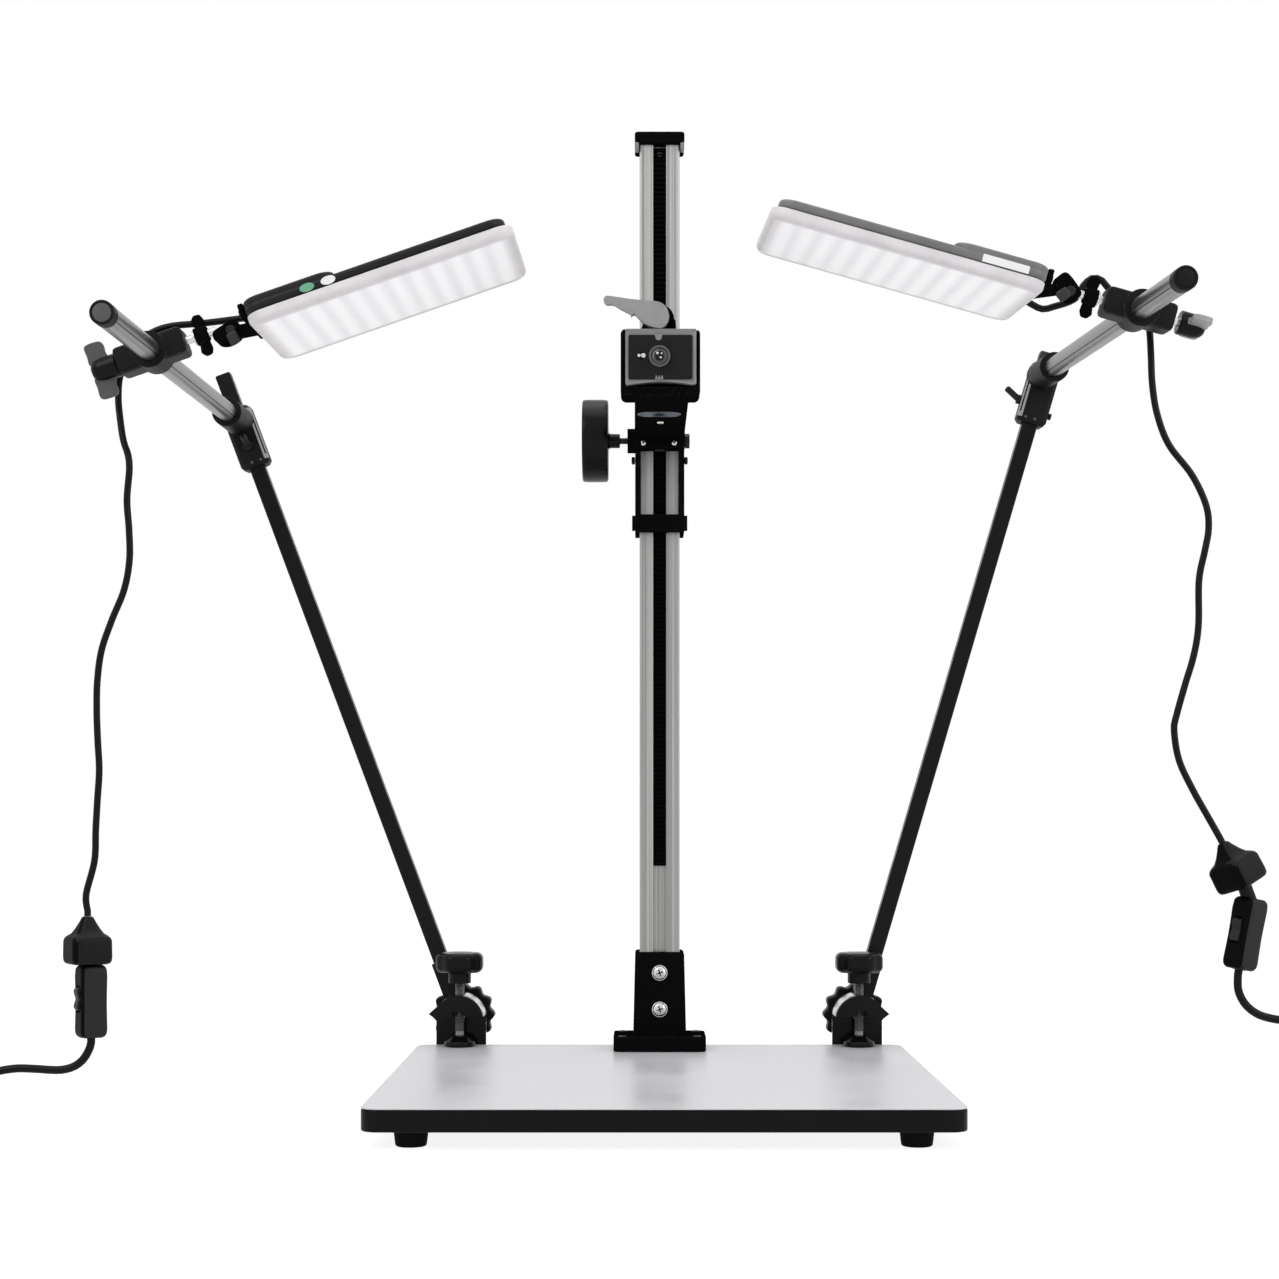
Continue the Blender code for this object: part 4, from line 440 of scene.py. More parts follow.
# Case plastic, with a darker copy as painted shade and a lighter copy as painted sheen.
CASE_BLACK = Finish("case_black", shade(18, 18, 19), 0.46, MOULDED, specular=0.12, edge=0.001)
CASE_SHADE = Finish("case_painted_shade", shade(8), 0.46, MOULDED, specular=0.03, edge=0.001)
CASE_SHEEN_GREY = Finish("case_painted_sheen", shade(36, 36, 37), 0.5, MOULDED, specular=0.15, edge=0.001)
KNOB_BLACK = Finish("knob_black", shade(12, 12, 13), 0.26, MOULDED, bump=0.00003, specular=0.11, edge=0.0008)
RACK_BLACK = Finish("rack_black", shade(7), 0.5, CAST, specular=0.02, edge=0.0002, slot="gear_rack")
DARK_STEEL = Finish("dark_steel", shade(40), 0.4, SPUN, 0.7, specular=0.2, edge=0.0003, slot="steel")
BRIGHT_STEEL = Finish(
    "bright_steel", shade(205, 205, 203), 0.22, SPUN, 1.0, bump=0.00001, tone=0.06, edge=0.0003, slot="steel"
)
SPINDLE_STEEL = Finish(
    "spindle_steel", shade(122), 0.36, SPUN, 0.9, bump=0.00001, tone=0.08, edge=0.0002, slot="steel"
)
COLUMN_SATIN = Finish(
    "column_satin", shade(158, 158, 156), 0.36, Texture.BRUSHED, 0.7, tone=0.24, edge=0.0004, slot="column_tube"
)
CAP_GREY = Finish("cap_tab_grey", shade(120), 0.5, MOULDED, slot="black_cast")
PLATE_GREY = Finish("plate_grey", shade(128), 0.45, CAST, 0.25, wear_and_sheen_share=0.4, worn_and_sheen_level=0.5, slot="plate")
CUP_GREY = Finish("cup_grey", shade(88), 0.35, SPUN, 0.4, wear_and_sheen_share=0.4, worn_and_sheen_level=0.4, slot="steel")
LEVER_CAST = Finish("lever_cast", shade(140), 0.48, CAST, 0.2, wear_and_sheen_share=0.3, worn_and_sheen_level=0.5, slot="lever_grey")
INSERT_RUBBER = Finish(
    "insert_rubber", shade(34), 0.75, Texture.RIBBED, bump=0.00015, specular=0.08, slot="pad"
)
PALE_STRIP = Finish("pale_strip", shade(96, 106, 118), 0.25, PAINT, 0.4, bump=0.00001, slot="steel")
END_GREY = Finish("end_grey", shade(74), 0.5, MOULDED, specular=0.3, slot="satin_rod")
END_BLACK = Finish("end_black", shade(18), 0.5, MOULDED, specular=0.1, slot="satin_rod")
# Light grey for a painted highlight on the elbow's lit chamfer.
EDGE_HIGHLIGHT_GREY = Finish("elbow_painted_highlight", shade(140), 0.45, CAST, 0.2, slot="black_cast")
EAR_GREY = Finish("ear_grey", shade(72), 0.45, MOULDED, specular=0.3)
# A pale grey that paints highlights: the camera screw's arc and the right wing knob's ears.
PALE_HIGHLIGHT = Finish("pale_painted_highlight", shade(138), 0.35, MOULDED, specular=0.4)
HINGE_GREY = Finish("hinge_grey", shade(46), 0.45, MOULDED, specular=0.2)
HANDLE_GREY = Finish("handle_grey", shade(32), 0.4, MOULDED, specular=0.15, slot="lever_grey")
ARM_PAINT = Finish("arm_paint", shade(12, 12, 13), 0.3, PAINT, wear_and_sheen_share=0.2, specular=0.12, slot="black_arm")
ROD_SATIN = Finish(
    "rod_satin", shade(126), 0.34, Texture.BRUSHED, 0.9, bump=0.00001, tone=0.07, gloss_change=0.04,
    slot="satin_rod",
)  # fmt: skip
SHELL_BLACK = Finish("lamp_shell_black", shade(28, 28, 29), 0.42, MOULDED, specular=0.15, slot="lamp_shell")
# Painted sheen: the right lamp's black shell is given a mid-grey, for the bright light its semi-gloss reflects.
SHELL_SHEEN_GREY = Finish("lamp_shell_painted_sheen", shade(108, 108, 109), 0.42, MOULDED, specular=0.3, slot="lamp_shell")
FROSTED = PanelGlow("frosted_tray", shade(206, 202, 205), 0.45, MOULDED, edge=0.001, slot="diffuser")
CORD_VINYL = Finish("cord_vinyl", shade(12, 12, 13), 0.36, MOULDED, bump=0.00002, specular=0.12, slot="cord")
GREEN_STICKER = Finish("green_sticker", shade(96, 158, 126), 0.5, PAINT, tone=0.06, slot="lamp_shell")
WHITE_STICKER = Finish("white_sticker", shade(226), 0.5, PAINT, tone=0.04, slot="lamp_shell")
SLOT_BLACK = Finish("slot_black", shade(8), 0.7, MOULDED, specular=0.1)


def arc(radius: float, start: float, end: float, steps: int, centre: Point = (0.0, 0.0)) -> Ring:
    """Points of an arc, with its angles in degrees."""
    angles = [math.radians(start + (end - start) * step / steps) for step in range(steps + 1)]
    return [(centre[0] + radius * math.cos(a), centre[1] + radius * math.sin(a)) for a in angles]


def rounded(width: float, depth: float, radius: float, steps: int = 8) -> Ring:
    """A rectangle with round corners, centred."""
    points = []
    for quarter, (x, y) in enumerate(((1, 1), (-1, 1), (-1, -1), (1, -1))):
        middle = (x * (width / 2 - radius), y * (depth / 2 - radius))
        points += arc(radius, 90 * quarter, 90 * quarter + 90, steps, middle)
    return points


def lobed(radius: float, lobes: int, depth: float, steps: int = 12) -> Ring:
    """A round outline with shallow lobes."""
    points = []
    for step in range(lobes * steps):
        angle = math.tau * step / (lobes * steps)
        reach = radius - depth * (1 - math.cos(lobes * angle)) / 2
        points.append((reach * math.cos(angle), reach * math.sin(angle)))
    return points


def sided(side: float, points: Sequence[Point]) -> list[Point]:
    """Points on one side: each first part is multiplied by the side's sign."""
    return [(side * x, *rest) for x, *rest in points]


def between(a: Vector, b: Vector, c: Vector, d: Vector, t: float) -> Vector:
    """The point of a smooth curve through four points, at a share of the way from b to c."""
    bend = (2 * a - 5 * b + 4 * c - d) * t**2 + (3 * b - a - 3 * c + d) * t**3
    return (2 * b + (c - a) * t + bend) / 2


def flowing(points: Outline, steps: int = 4) -> Ring:
    """A closed smooth outline through the chosen points."""
    made = []
    count = len(points)
    for n in range(count):
        near = [Vector(points[(n + shift) % count]) for shift in (-1, 0, 1, 2)]
        made += [tuple(between(*near, step / steps)) for step in range(steps)]
    return made


class Shape:
    """A piece under construction from shapes in one local frame, each with its own finish."""

    def __init__(self, name: str, finish: Finish, place: Matrix = WORLD) -> None:
        """Start a piece.

        Args:
            name: The piece's name.
            finish: The finish of its shapes that name no other.
            place: The frame that its shapes are given in.
        """
        self.name = name
        self.finishes = [finish]
        self.place = place
        self.bm = bmesh.new()

    def number(self, finish: Finish | None) -> int:
        """The place of a finish among the piece's finishes, which it joins when it is new."""
        finish = finish or self.finishes[0]
        if finish not in self.finishes:
            self.finishes.append(finish)
        return self.finishes.index(finish)

    def take(self, part: Draft, finish: Finish | None, place: Matrix) -> "Shape":
        """Add a finished shape.

        Args:
            part: The shape, which is used up.
            finish: Its finish, or None for the piece's own.
            place: Its frame within the piece's.

        Returns:
            The piece, for the next shape.
        """
        index = self.number(finish)
        for face in part.faces:
            face.material_index = index
        part.transform(place)
        mesh = bpy.data.meshes.new("part")
        part.to_mesh(mesh)
        part.free()
        self.bm.from_mesh(mesh)
        bpy.data.meshes.remove(mesh)
        return self

    @staticmethod
    def soften(part: Draft, width: float, segments: int, limit: float = 30.0) -> None:
        """Round the edges of a shape that are sharper than some degrees."""
        if width <= 0:
            return
        least = math.radians(limit)
        sharp = [edge for edge in part.edges if edge.is_manifold and edge.calc_face_angle() > least]
        how = {"offset": width, "offset_type": "OFFSET", "segments": segments, "profile": 0.5}
        bmesh.ops.bevel(part, geom=sharp, affect="EDGES", clamp_overlap=True, material=-1, **how)

    def block(
        self,
        low: Point,
        high: Point,
        bevel: float = 0.0005,
        segments: int = 3,
        finish: Finish | None = None,
        place: Matrix = WORLD,
    ) -> "Shape":
        """Add a box between two corners, given in either order."""
        part = bmesh.new()
        corners = [(min(a, b), max(a, b)) for a, b in zip(low, high)]
        size = Matrix.Diagonal(Vector([b - a for a, b in corners]).to_4d())
        middle = Matrix.Translation([(a + b) / 2 for a, b in corners])
        bmesh.ops.create_cube(part, size=1.0, matrix=middle @ size)
        self.soften(part, bevel, segments)
        return self.take(part, finish, place)

    def rod(
        self,
        start: Point,
        end: Point,
        radius: float,
        end_radius: float | None = None,
        bevel: float = 0.0,
        steps: int = 40,
        finish: Finish | None = None,
        place: Matrix = WORLD,
    ) -> "Shape":
        """Add a round or many-sided rod or cone between two points."""
        start, end = Vector(start), Vector(end)
        aim = (end - start).to_track_quat("Z", "Y").to_matrix().to_4x4()
        part = bmesh.new()
        bmesh.ops.create_cone(
            part,
            cap_ends=True,
            segments=steps,
            radius1=radius,
            radius2=radius if end_radius is None else end_radius,
            depth=(end - start).length,
            matrix=Matrix.Translation((start + end) / 2) @ aim,
        )
        self.soften(part, bevel, 3, 50.0)
        return self.take(part, finish, place)

    def lathe(
        self,
        profile: Outline,
        steps: int = 64,
        finish: Finish | None = None,
        place: Matrix = WORLD,
        work: Callable[[Draft], None] | None = None,
    ) -> "Shape":
        """Add a profile of (radius, height) points spun about local Z.

        Args:
            profile: The points, from one end of the axis to the other.
            steps: How many steps the spin has.
            finish: The shape's finish.
            place: Its frame.
            work: Changes the spun mesh before it is added.

        Returns:
            The piece.
        """
        part = bmesh.new()
        points = [part.verts.new((radius, 0.0, height)) for radius, height in profile]
        edges = [part.edges.new(pair) for pair in zip(points, points[1:])]
        turn = {"cent": (0, 0, 0), "axis": (0, 0, 1), "angle": math.tau, "steps": steps, "use_merge": True}
        bmesh.ops.spin(part, geom=points + edges, **turn)
        self.close(part, work)
        return self.take(part, finish, place)

    @staticmethod
    def close(part: Draft, work: Callable[[Draft], None] | None = None) -> None:
        """Join a mesh's points that meet, turn its faces outwards, and change it further."""
        bmesh.ops.remove_doubles(part, verts=part.verts, dist=0.000001)
        bmesh.ops.recalc_face_normals(part, faces=part.faces)
        if work:
            work(part)

    def plate(
        self,
        outline: Outline,
        low: float,
        high: float,
        bevel: float = 0.0005,
        segments: int = 3,
        finish: Finish | None = None,
        place: Matrix = WORLD,
        work: Callable[[Draft], None] | None = None,
    ) -> "Shape":
        """Add an outline in local XY, extruded from one height to another."""
        part = bmesh.new()
        face = part.faces.new([part.verts.new((x, y, low)) for x, y in outline])
        raised = bmesh.ops.extrude_face_region(part, geom=[face])["geom"]
        top = [item for item in raised if isinstance(item, bmesh.types.BMVert)]
        bmesh.ops.translate(part, verts=top, vec=(0.0, 0.0, high - low))
        bmesh.ops.recalc_face_normals(part, faces=part.faces)
        if work:
            work(part)
        self.soften(part, bevel, segments, 40.0)
        return self.take(part, finish, place)

    def loft(self, rings: Sequence[Point], place: Matrix = WORLD) -> "Shape":
        """Add a skin over rounded rectangles along local Z.

        Args:
            rings: Height, width, depth and corner radius of each rectangle.
            place: The shape's frame.

        Returns:
            The piece.
        """
        part = bmesh.new()
        loops, rims = [], []
        for height, width, depth, corner in rings:
            rim = [part.verts.new((x, y, height)) for x, y in rounded(width, depth, corner, 6)]
            rims.append(rim)
            loops.append([part.edges.new(pair) for pair in zip(rim, rim[1:] + rim[:1])])
        for first, second in zip(loops, loops[1:]):
            bmesh.ops.bridge_loops(part, edges=first + second)
        for rim in (rims[0], rims[-1]):
            part.faces.new(rim)
        self.close(part)
        return self.take(part, None, place)

    def paint(self, finish: Finish, way: Point, share: float = 0.5) -> "Shape":
        """Give the faces that look one way another finish."""
        index = self.number(finish)
        aim = Vector(way).normalized()
        self.bm.normal_update()
        for face in self.bm.faces:
            if face.normal.dot(aim) > share:
                face.material_index = index
        return self

    def cut(self, cutter: "Shape") -> "Shape":
        """Cut another piece, built in the same frame, out of this one."""
        drafts = [self.draft(), cutter.draft()]
        modifier = drafts[0].modifiers.new(cutter.name, "BOOLEAN")
        modifier.operation = "DIFFERENCE"
        modifier.solver = "EXACT"
        modifier.object = drafts[1]
        mesh = evaluated(drafts[0])
        self.bm.clear()
        self.bm.from_mesh(mesh)
        for used in (mesh, *[draft.data for draft in drafts]):
            bpy.data.meshes.remove(used)
        return self

    def draft(self) -> Object:
        """A passing object of the shapes so far, which goes when its mesh does."""
        mesh = bpy.data.meshes.new(f"{self.name}_draft")
        self.bm.to_mesh(mesh)
        for _ in self.finishes:
            mesh.materials.append(None)
        return placed(mesh.name, mesh)

    def screw(self, place: Matrix, radius: float, height: float, finish: Finish | None = None) -> "Shape":
        """Add a pan head with a cross recess, standing on local XY, and painted shade in the recess."""
        reach = 0.52 * radius
        bottom = height - 0.75 * height

        def cross(part: Draft) -> None:
            """Pull the recess's rings in between the four arms of its cross."""
            for vert in part.verts:
                if 0 < vert.co.xy.length <= reach * 1.01:
                    angle = math.degrees(math.atan2(vert.co.y, vert.co.x)) % 90
                    if 16 < angle < 74:
                        vert.co.xy *= 0.36

        head = [(0, bottom), (0.5 * reach, bottom), (reach, height * 0.97)]
        head += [(0.7 * radius, height * 0.86), (0.88 * radius, height * 0.6), (radius, 0.15 * height)]
        self.lathe([*head, (radius, 0), (0, 0)], 48, finish, place, cross)
        # Painted shade: a dark fill inside the recess, up to below its mouth.
        floor, mouth = bottom + 0.00003, 0.62 * height
        hollow = [(0, floor), (0.5 * reach, floor), (0.8 * reach, mouth), (0, mouth)]
        return self.lathe(hollow, 24, SLOT_BLACK, place, cross)

    def node(self, name: str) -> "Shape":
        """Add a merged copy of a CAD node, which stands in the world."""
        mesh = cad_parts[name].data.copy()
        if "custom_normal" in mesh.attributes:
            mesh.attributes.remove(mesh.attributes["custom_normal"])
        part = bmesh.new()
        part.from_mesh(mesh)
        bpy.data.meshes.remove(mesh)
        bmesh.ops.remove_doubles(part, verts=part.verts, dist=0.000002)
        limit = {"angle_limit": math.radians(0.5), "use_dissolve_boundaries": False}
        bmesh.ops.dissolve_limit(part, **limit, verts=part.verts, edges=part.edges)
        return self.take(part, None, self.place.inverted())

    def done(self, body: str, *nodes: str) -> Object:
        """Make the piece an object that moves with a body.

        Args:
            body: The body that it rides on.
            nodes: The CAD nodes that it stands for.

        Returns:
            The object, which stands at the origin.
        """
        self.bm.transform(self.place)
        mesh = bpy.data.meshes.new(self.name)
        self.bm.to_mesh(mesh)
        self.bm.free()
        for finish in self.finishes:
            mesh.materials.append(finish.material())
        mesh.shade_smooth()
        mesh.set_sharp_from_angle(angle=math.radians(40))
        obj = placed(self.name, mesh)
        weighted = obj.modifiers.new("weighted", "WEIGHTED_NORMAL")
        weighted.keep_sharp = True
        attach(obj, body)
        if nodes:
            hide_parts(*nodes)
        LOG.info("made %s", self.name)
        return obj


def dress(node: str, finish: Finish) -> None:
    """Give a CAD node that stays its finish."""
    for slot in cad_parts[node].material_slots:
        slot.material = finish.material()
    LOG.info("dressed %s", node)


def smooth_route(points: Sequence[Point], spacing: float) -> list[Vector]:
    """Evenly spaced points on a smooth curve through the chosen points, with straight end legs."""
    points = [Vector(point) for point in points]
    fine = [points[1]]
    for near in zip(points, points[1:], points[2:], points[3:]):
        fine += [between(*near, step / 20) for step in range(1, 21)]
    return even([points[0], *fine, points[-1]], spacing)


def even(points: Route, spacing: float) -> list[Vector]:
    """Points at even steps along a line of close points."""
    run = [0.0]
    for first, second in zip(points, points[1:]):
        run.append(run[-1] + (second - first).length)
    count = max(2, round(run[-1] / spacing))
    route, index = [], 0
    for n in range(count + 1):
        wanted = run[-1] * n / count
        while index < len(run) - 2 and run[index + 1] < wanted:
            index += 1
        length = run[index + 1] - run[index]
        share = (wanted - run[index]) / length if length else 0.0
        route.append(points[index].lerp(points[index + 1], min(share, 1.0)))
    return route


def length_of(route: Route) -> float:
    """The length of a line through points."""
    return sum((second - first).length for first, second in zip(route, route[1:]))


@dataclass
class Cord:
    """A round cord that follows a route, whose points stand at the given spacing."""

    radius: float
    lay: str
    spacing: float
    finish: Finish = CORD_VINYL

    def tube(self, name: str, route: Route) -> Object:
        """A smooth tube through points, closed at both ends."""
        curve = bpy.data.curves.new(name, "CURVE")
        curve.dimensions = "3D"
        curve.bevel_depth = self.radius
        curve.bevel_resolution = 4
        curve.use_fill_caps = True
        spline = curve.splines.new("POLY")
        spline.points.add(len(route) - 1)
        for point, place in zip(spline.points, route):
            point.co = (*place, 1.0)
        mesh = evaluated(placed(name, curve))
        bpy.data.curves.remove(curve)
        bm = bmesh.new()
        bm.from_mesh(mesh)
        bmesh.ops.remove_doubles(bm, verts=bm.verts, dist=0.00001)
        bmesh.ops.recalc_face_normals(bm, faces=bm.faces)
        bm.to_mesh(mesh)
        bm.free()
        mesh.materials.clear()
        mesh.materials.append(self.finish.material())
        mesh.shade_smooth()
        mesh.set_sharp_from_angle(angle=math.radians(50))
        obj = placed(name, mesh)
        LOG.info("made %s, %.3f m", name, length_of(route))
        return obj


LAMP_CORD = Cord(0.0025, "hanging", 0.004)
MAINS_LEAD = Cord(0.003, "coiled", 0.0035)


@dataclass
class Board:
    """The baseboard with its laminate top and its four feet."""

    side: float = 0.4064
    corner: float = 0.012
    core: Pair = (-0.016, -0.0011)
    laminate: float = 0.0008
    foot_x: float = 0.1707
    foot_rows: dict[str, float] = field(default_factory=lambda: {"front": -0.18, "rear": 0.1472})
    foot_height: float = 0.0117
    foot_radius: float = 0.012
    hollow_height: float = 0.0062

    def build(self) -> None:
        """Build the board's pieces."""
        outline = rounded(self.side, self.side, self.corner, 12)
        core = Shape("board_slab", EDGE_BAND)
        core.plate(outline, *self.core, bevel=0.0012, segments=4).done("stand", "baseboard")
        top = Shape("board_top_sheet", LAMINATE)
        top.plate(outline, -self.laminate, 0.0, bevel=0.0003, segments=2).done("stand", "board_laminate")
        for row, y in self.foot_rows.items():
            for label, x in (("left", -self.foot_x), ("right", self.foot_x)):
                self.foot(f"{row}_{label}", x, y)

    def foot(self, label: str, x: float, y: float) -> None:
        """One rubber foot with the screw in its hollow."""
        radius, height, hollow = self.foot_radius, self.foot_height, self.hollow_height
        tip = radius - 0.0015
        profile = [(0, height), (radius, height), (radius - 0.0001, height - 0.0006), (tip + 0.0002, 0.0012)]
        profile += [(tip - 0.0003, 0.0004), (tip - 0.0011, 0), (0.0058, 0), (0.0054, 0.0004)]
        profile += [(0.0052, hollow), (0, hollow)]
        foot = Shape(f"rubber_foot_{label}", FOOT_RUBBER, at(x, y, GROUND_Z))
        foot.lathe(profile, 48)
        foot.screw(at(0, 0, hollow) @ turned(180, "X"), 0.0042, 0.0022, BRIGHT_STEEL)
        foot.done("stand", f"foot_{label}")


@dataclass
class Column:
    """The square column with its foot bracket, its rack and its cap."""

    y: float = 0.175
    top: float = 0.747
    cap_side: float = 0.041
    cap_height: float = 0.0097
    flange_top: float = 0.012
    socket_lean: float = 88.63
    socket_screws: Outline = ((0.1544, 0.064), (0.1537, 0.034))
    rack_screws: Outline = ((0.1599, 0.7394), (0.1621, 0.1593))

    def build(self) -> None:
        """Build the column's pieces."""
        Shape("column_foot_casting", CAST_BLACK).node("column_bracket").done("stand", "column_bracket")
        screws = Shape("column_foot_screws", BRIGHT_STEEL)
        for y, z in self.socket_screws:
            face = at(0, y + 0.0001, z) @ turned(self.socket_lean, "X")
            screws.rod((0, 0, -0.0002), (0, 0, 0.0005), 0.0064, bevel=0.0002, place=face)
            screws.screw(face @ at(0, 0, 0.0004) @ turned(20, "Z"), 0.0058, 0.0026)
        for x in (-0.0305, 0.0305):
            for y in (0.15, 0.195):
                screws.screw(at(x, y, self.flange_top - 0.0002) @ turned(31, "Z"), 0.0036, 0.0011, DARK_STEEL)
        screws.done("stand")
        dress("column", COLUMN_SATIN)
        dress("rack_strip", RACK_BLACK)
        rack = Shape("rack_screws", DARK_STEEL)
        for y, z in self.rack_screws:
            rack.screw(at(0, y, z) @ turned(90, "X"), 0.00235, 0.0007)
        rack.done("stand")
        self.cap()

    def cap(self) -> None:
        """The cast cap with its two pale tabs."""
        cap = Shape("column_top_cap", CAST_BLACK, at(0, self.y, self.top + GAP))
        outline = rounded(self.cap_side, self.cap_side, 0.003, 6)
        cap.plate(outline, 0.0, self.cap_height, bevel=0.0013, segments=4)
        for side in SIDES:
            tab = sided(side, [(0.0171, -0.0202, -0.0046), (0.0203, -0.0085, 0.001)])
            cap.block(*tab, 0.0005, 2, CAP_GREY)
        cap.done("stand", "column_cap")


@dataclass
class Carriage:
    """The frame that wraps the column, with the camera arm and its small fittings."""

    half: float = 0.0205
    axle_y: float = 0.1525
    axle_z: float = 0.5015
    arm_half: float = 0.02
    arm_y: Pair = (-0.018, 0.1387)
    arm_z: Pair = (0.502, 0.528)
    bolt_at: Pair = (0.158, 0.4862)
    knob_x: Pair = (-0.0634, -0.0422)
    knob_radius: float = 0.0335

    def build(self) -> None:
        """Build the carriage's pieces."""
        Shape("carriage_casting", CAST_BLACK).node("carriage_frame").done("carriage", "carriage_frame")
        arm = Shape("camera_arm_bar", CAST_BLACK)
        low = (-self.arm_half, self.arm_y[0], self.arm_z[0])
        high = (self.arm_half, self.arm_y[1], self.arm_z[1])
        arm.block(low, high, 0.0018, 4).done("carriage", "camera_arm")
        self.fittings()
        self.knob()
        dress("pinion_shaft", DARK_STEEL)

    def fittings(self) -> None:
        """The bolts, the screws and the pale strip."""
        bolts = Shape("carriage_bolts", DARK_STEEL)
        for side in SIDES:
            ends = sided(side, [(x, *self.bolt_at) for x in (self.half - 0.0002, 0.0232)])
            bolts.rod(*ends, 0.0032, bevel=0.0012)
        bolts.done("carriage")
        screws = Shape("carriage_screws", BRIGHT_STEEL)
        for x in (-0.0135, 0.0117):
            screws.screw(at(x, 0.1391, 0.4979) @ turned(90, "X"), 0.0024, 0.0012)
        screws.screw(at(-0.0003, 0.0643, self.arm_z[0] + 0.0001) @ turned(180, "X"), 0.0028, 0.0014)
        screws.done("carriage")
        strip = Shape("arm_strip", PALE_STRIP, at(-0.0015, 0.0276, self.arm_z[0]))
        strip.plate(rounded(0.033, 0.02, 0.009), -0.0006, 0.0002, bevel=0.0003)
        strip.rod((0, 0, -0.0008), (0, 0, -0.0002), 0.004, bevel=0.0003, finish=SLOT_BLACK)
        strip.done("carriage")

    def knob(self) -> None:
        """The height knob, which seats on the pinion's axle."""
        knob = Shape("height_knob_wheel", KNOB_BLACK, at(0, self.axle_y, self.axle_z) @ turned(90, "Y"))
        (outer, inner), radius = self.knob_x, self.knob_radius
        dish = ((0, 12), (0.0105, 12), (0.011, 6), (0.0116, 14), (0.027, 14), (0.0278, 2), (0.029, 0))
        edge = ((0.0022, 0), (0.0009, 0.0004), (0.0002, 0.0014), (0, 0.0045))
        profile = [(reach, outer + depth / 10000) for reach, depth in dish]
        profile += [(radius - inset, outer + depth) for inset, depth in edge]
        profile += [(radius - inset, inner - depth) for inset, depth in reversed(edge)]
        profile += [(0.008, inner), (0.0066, inner + 0.0005), (0.0058, inner + 0.0018)]
        profile += [(0.0058, -0.0333), (0.0052, -0.0327), (0, -0.0327)]
        knob.lathe(profile, 96).done("drive", "height_knob")


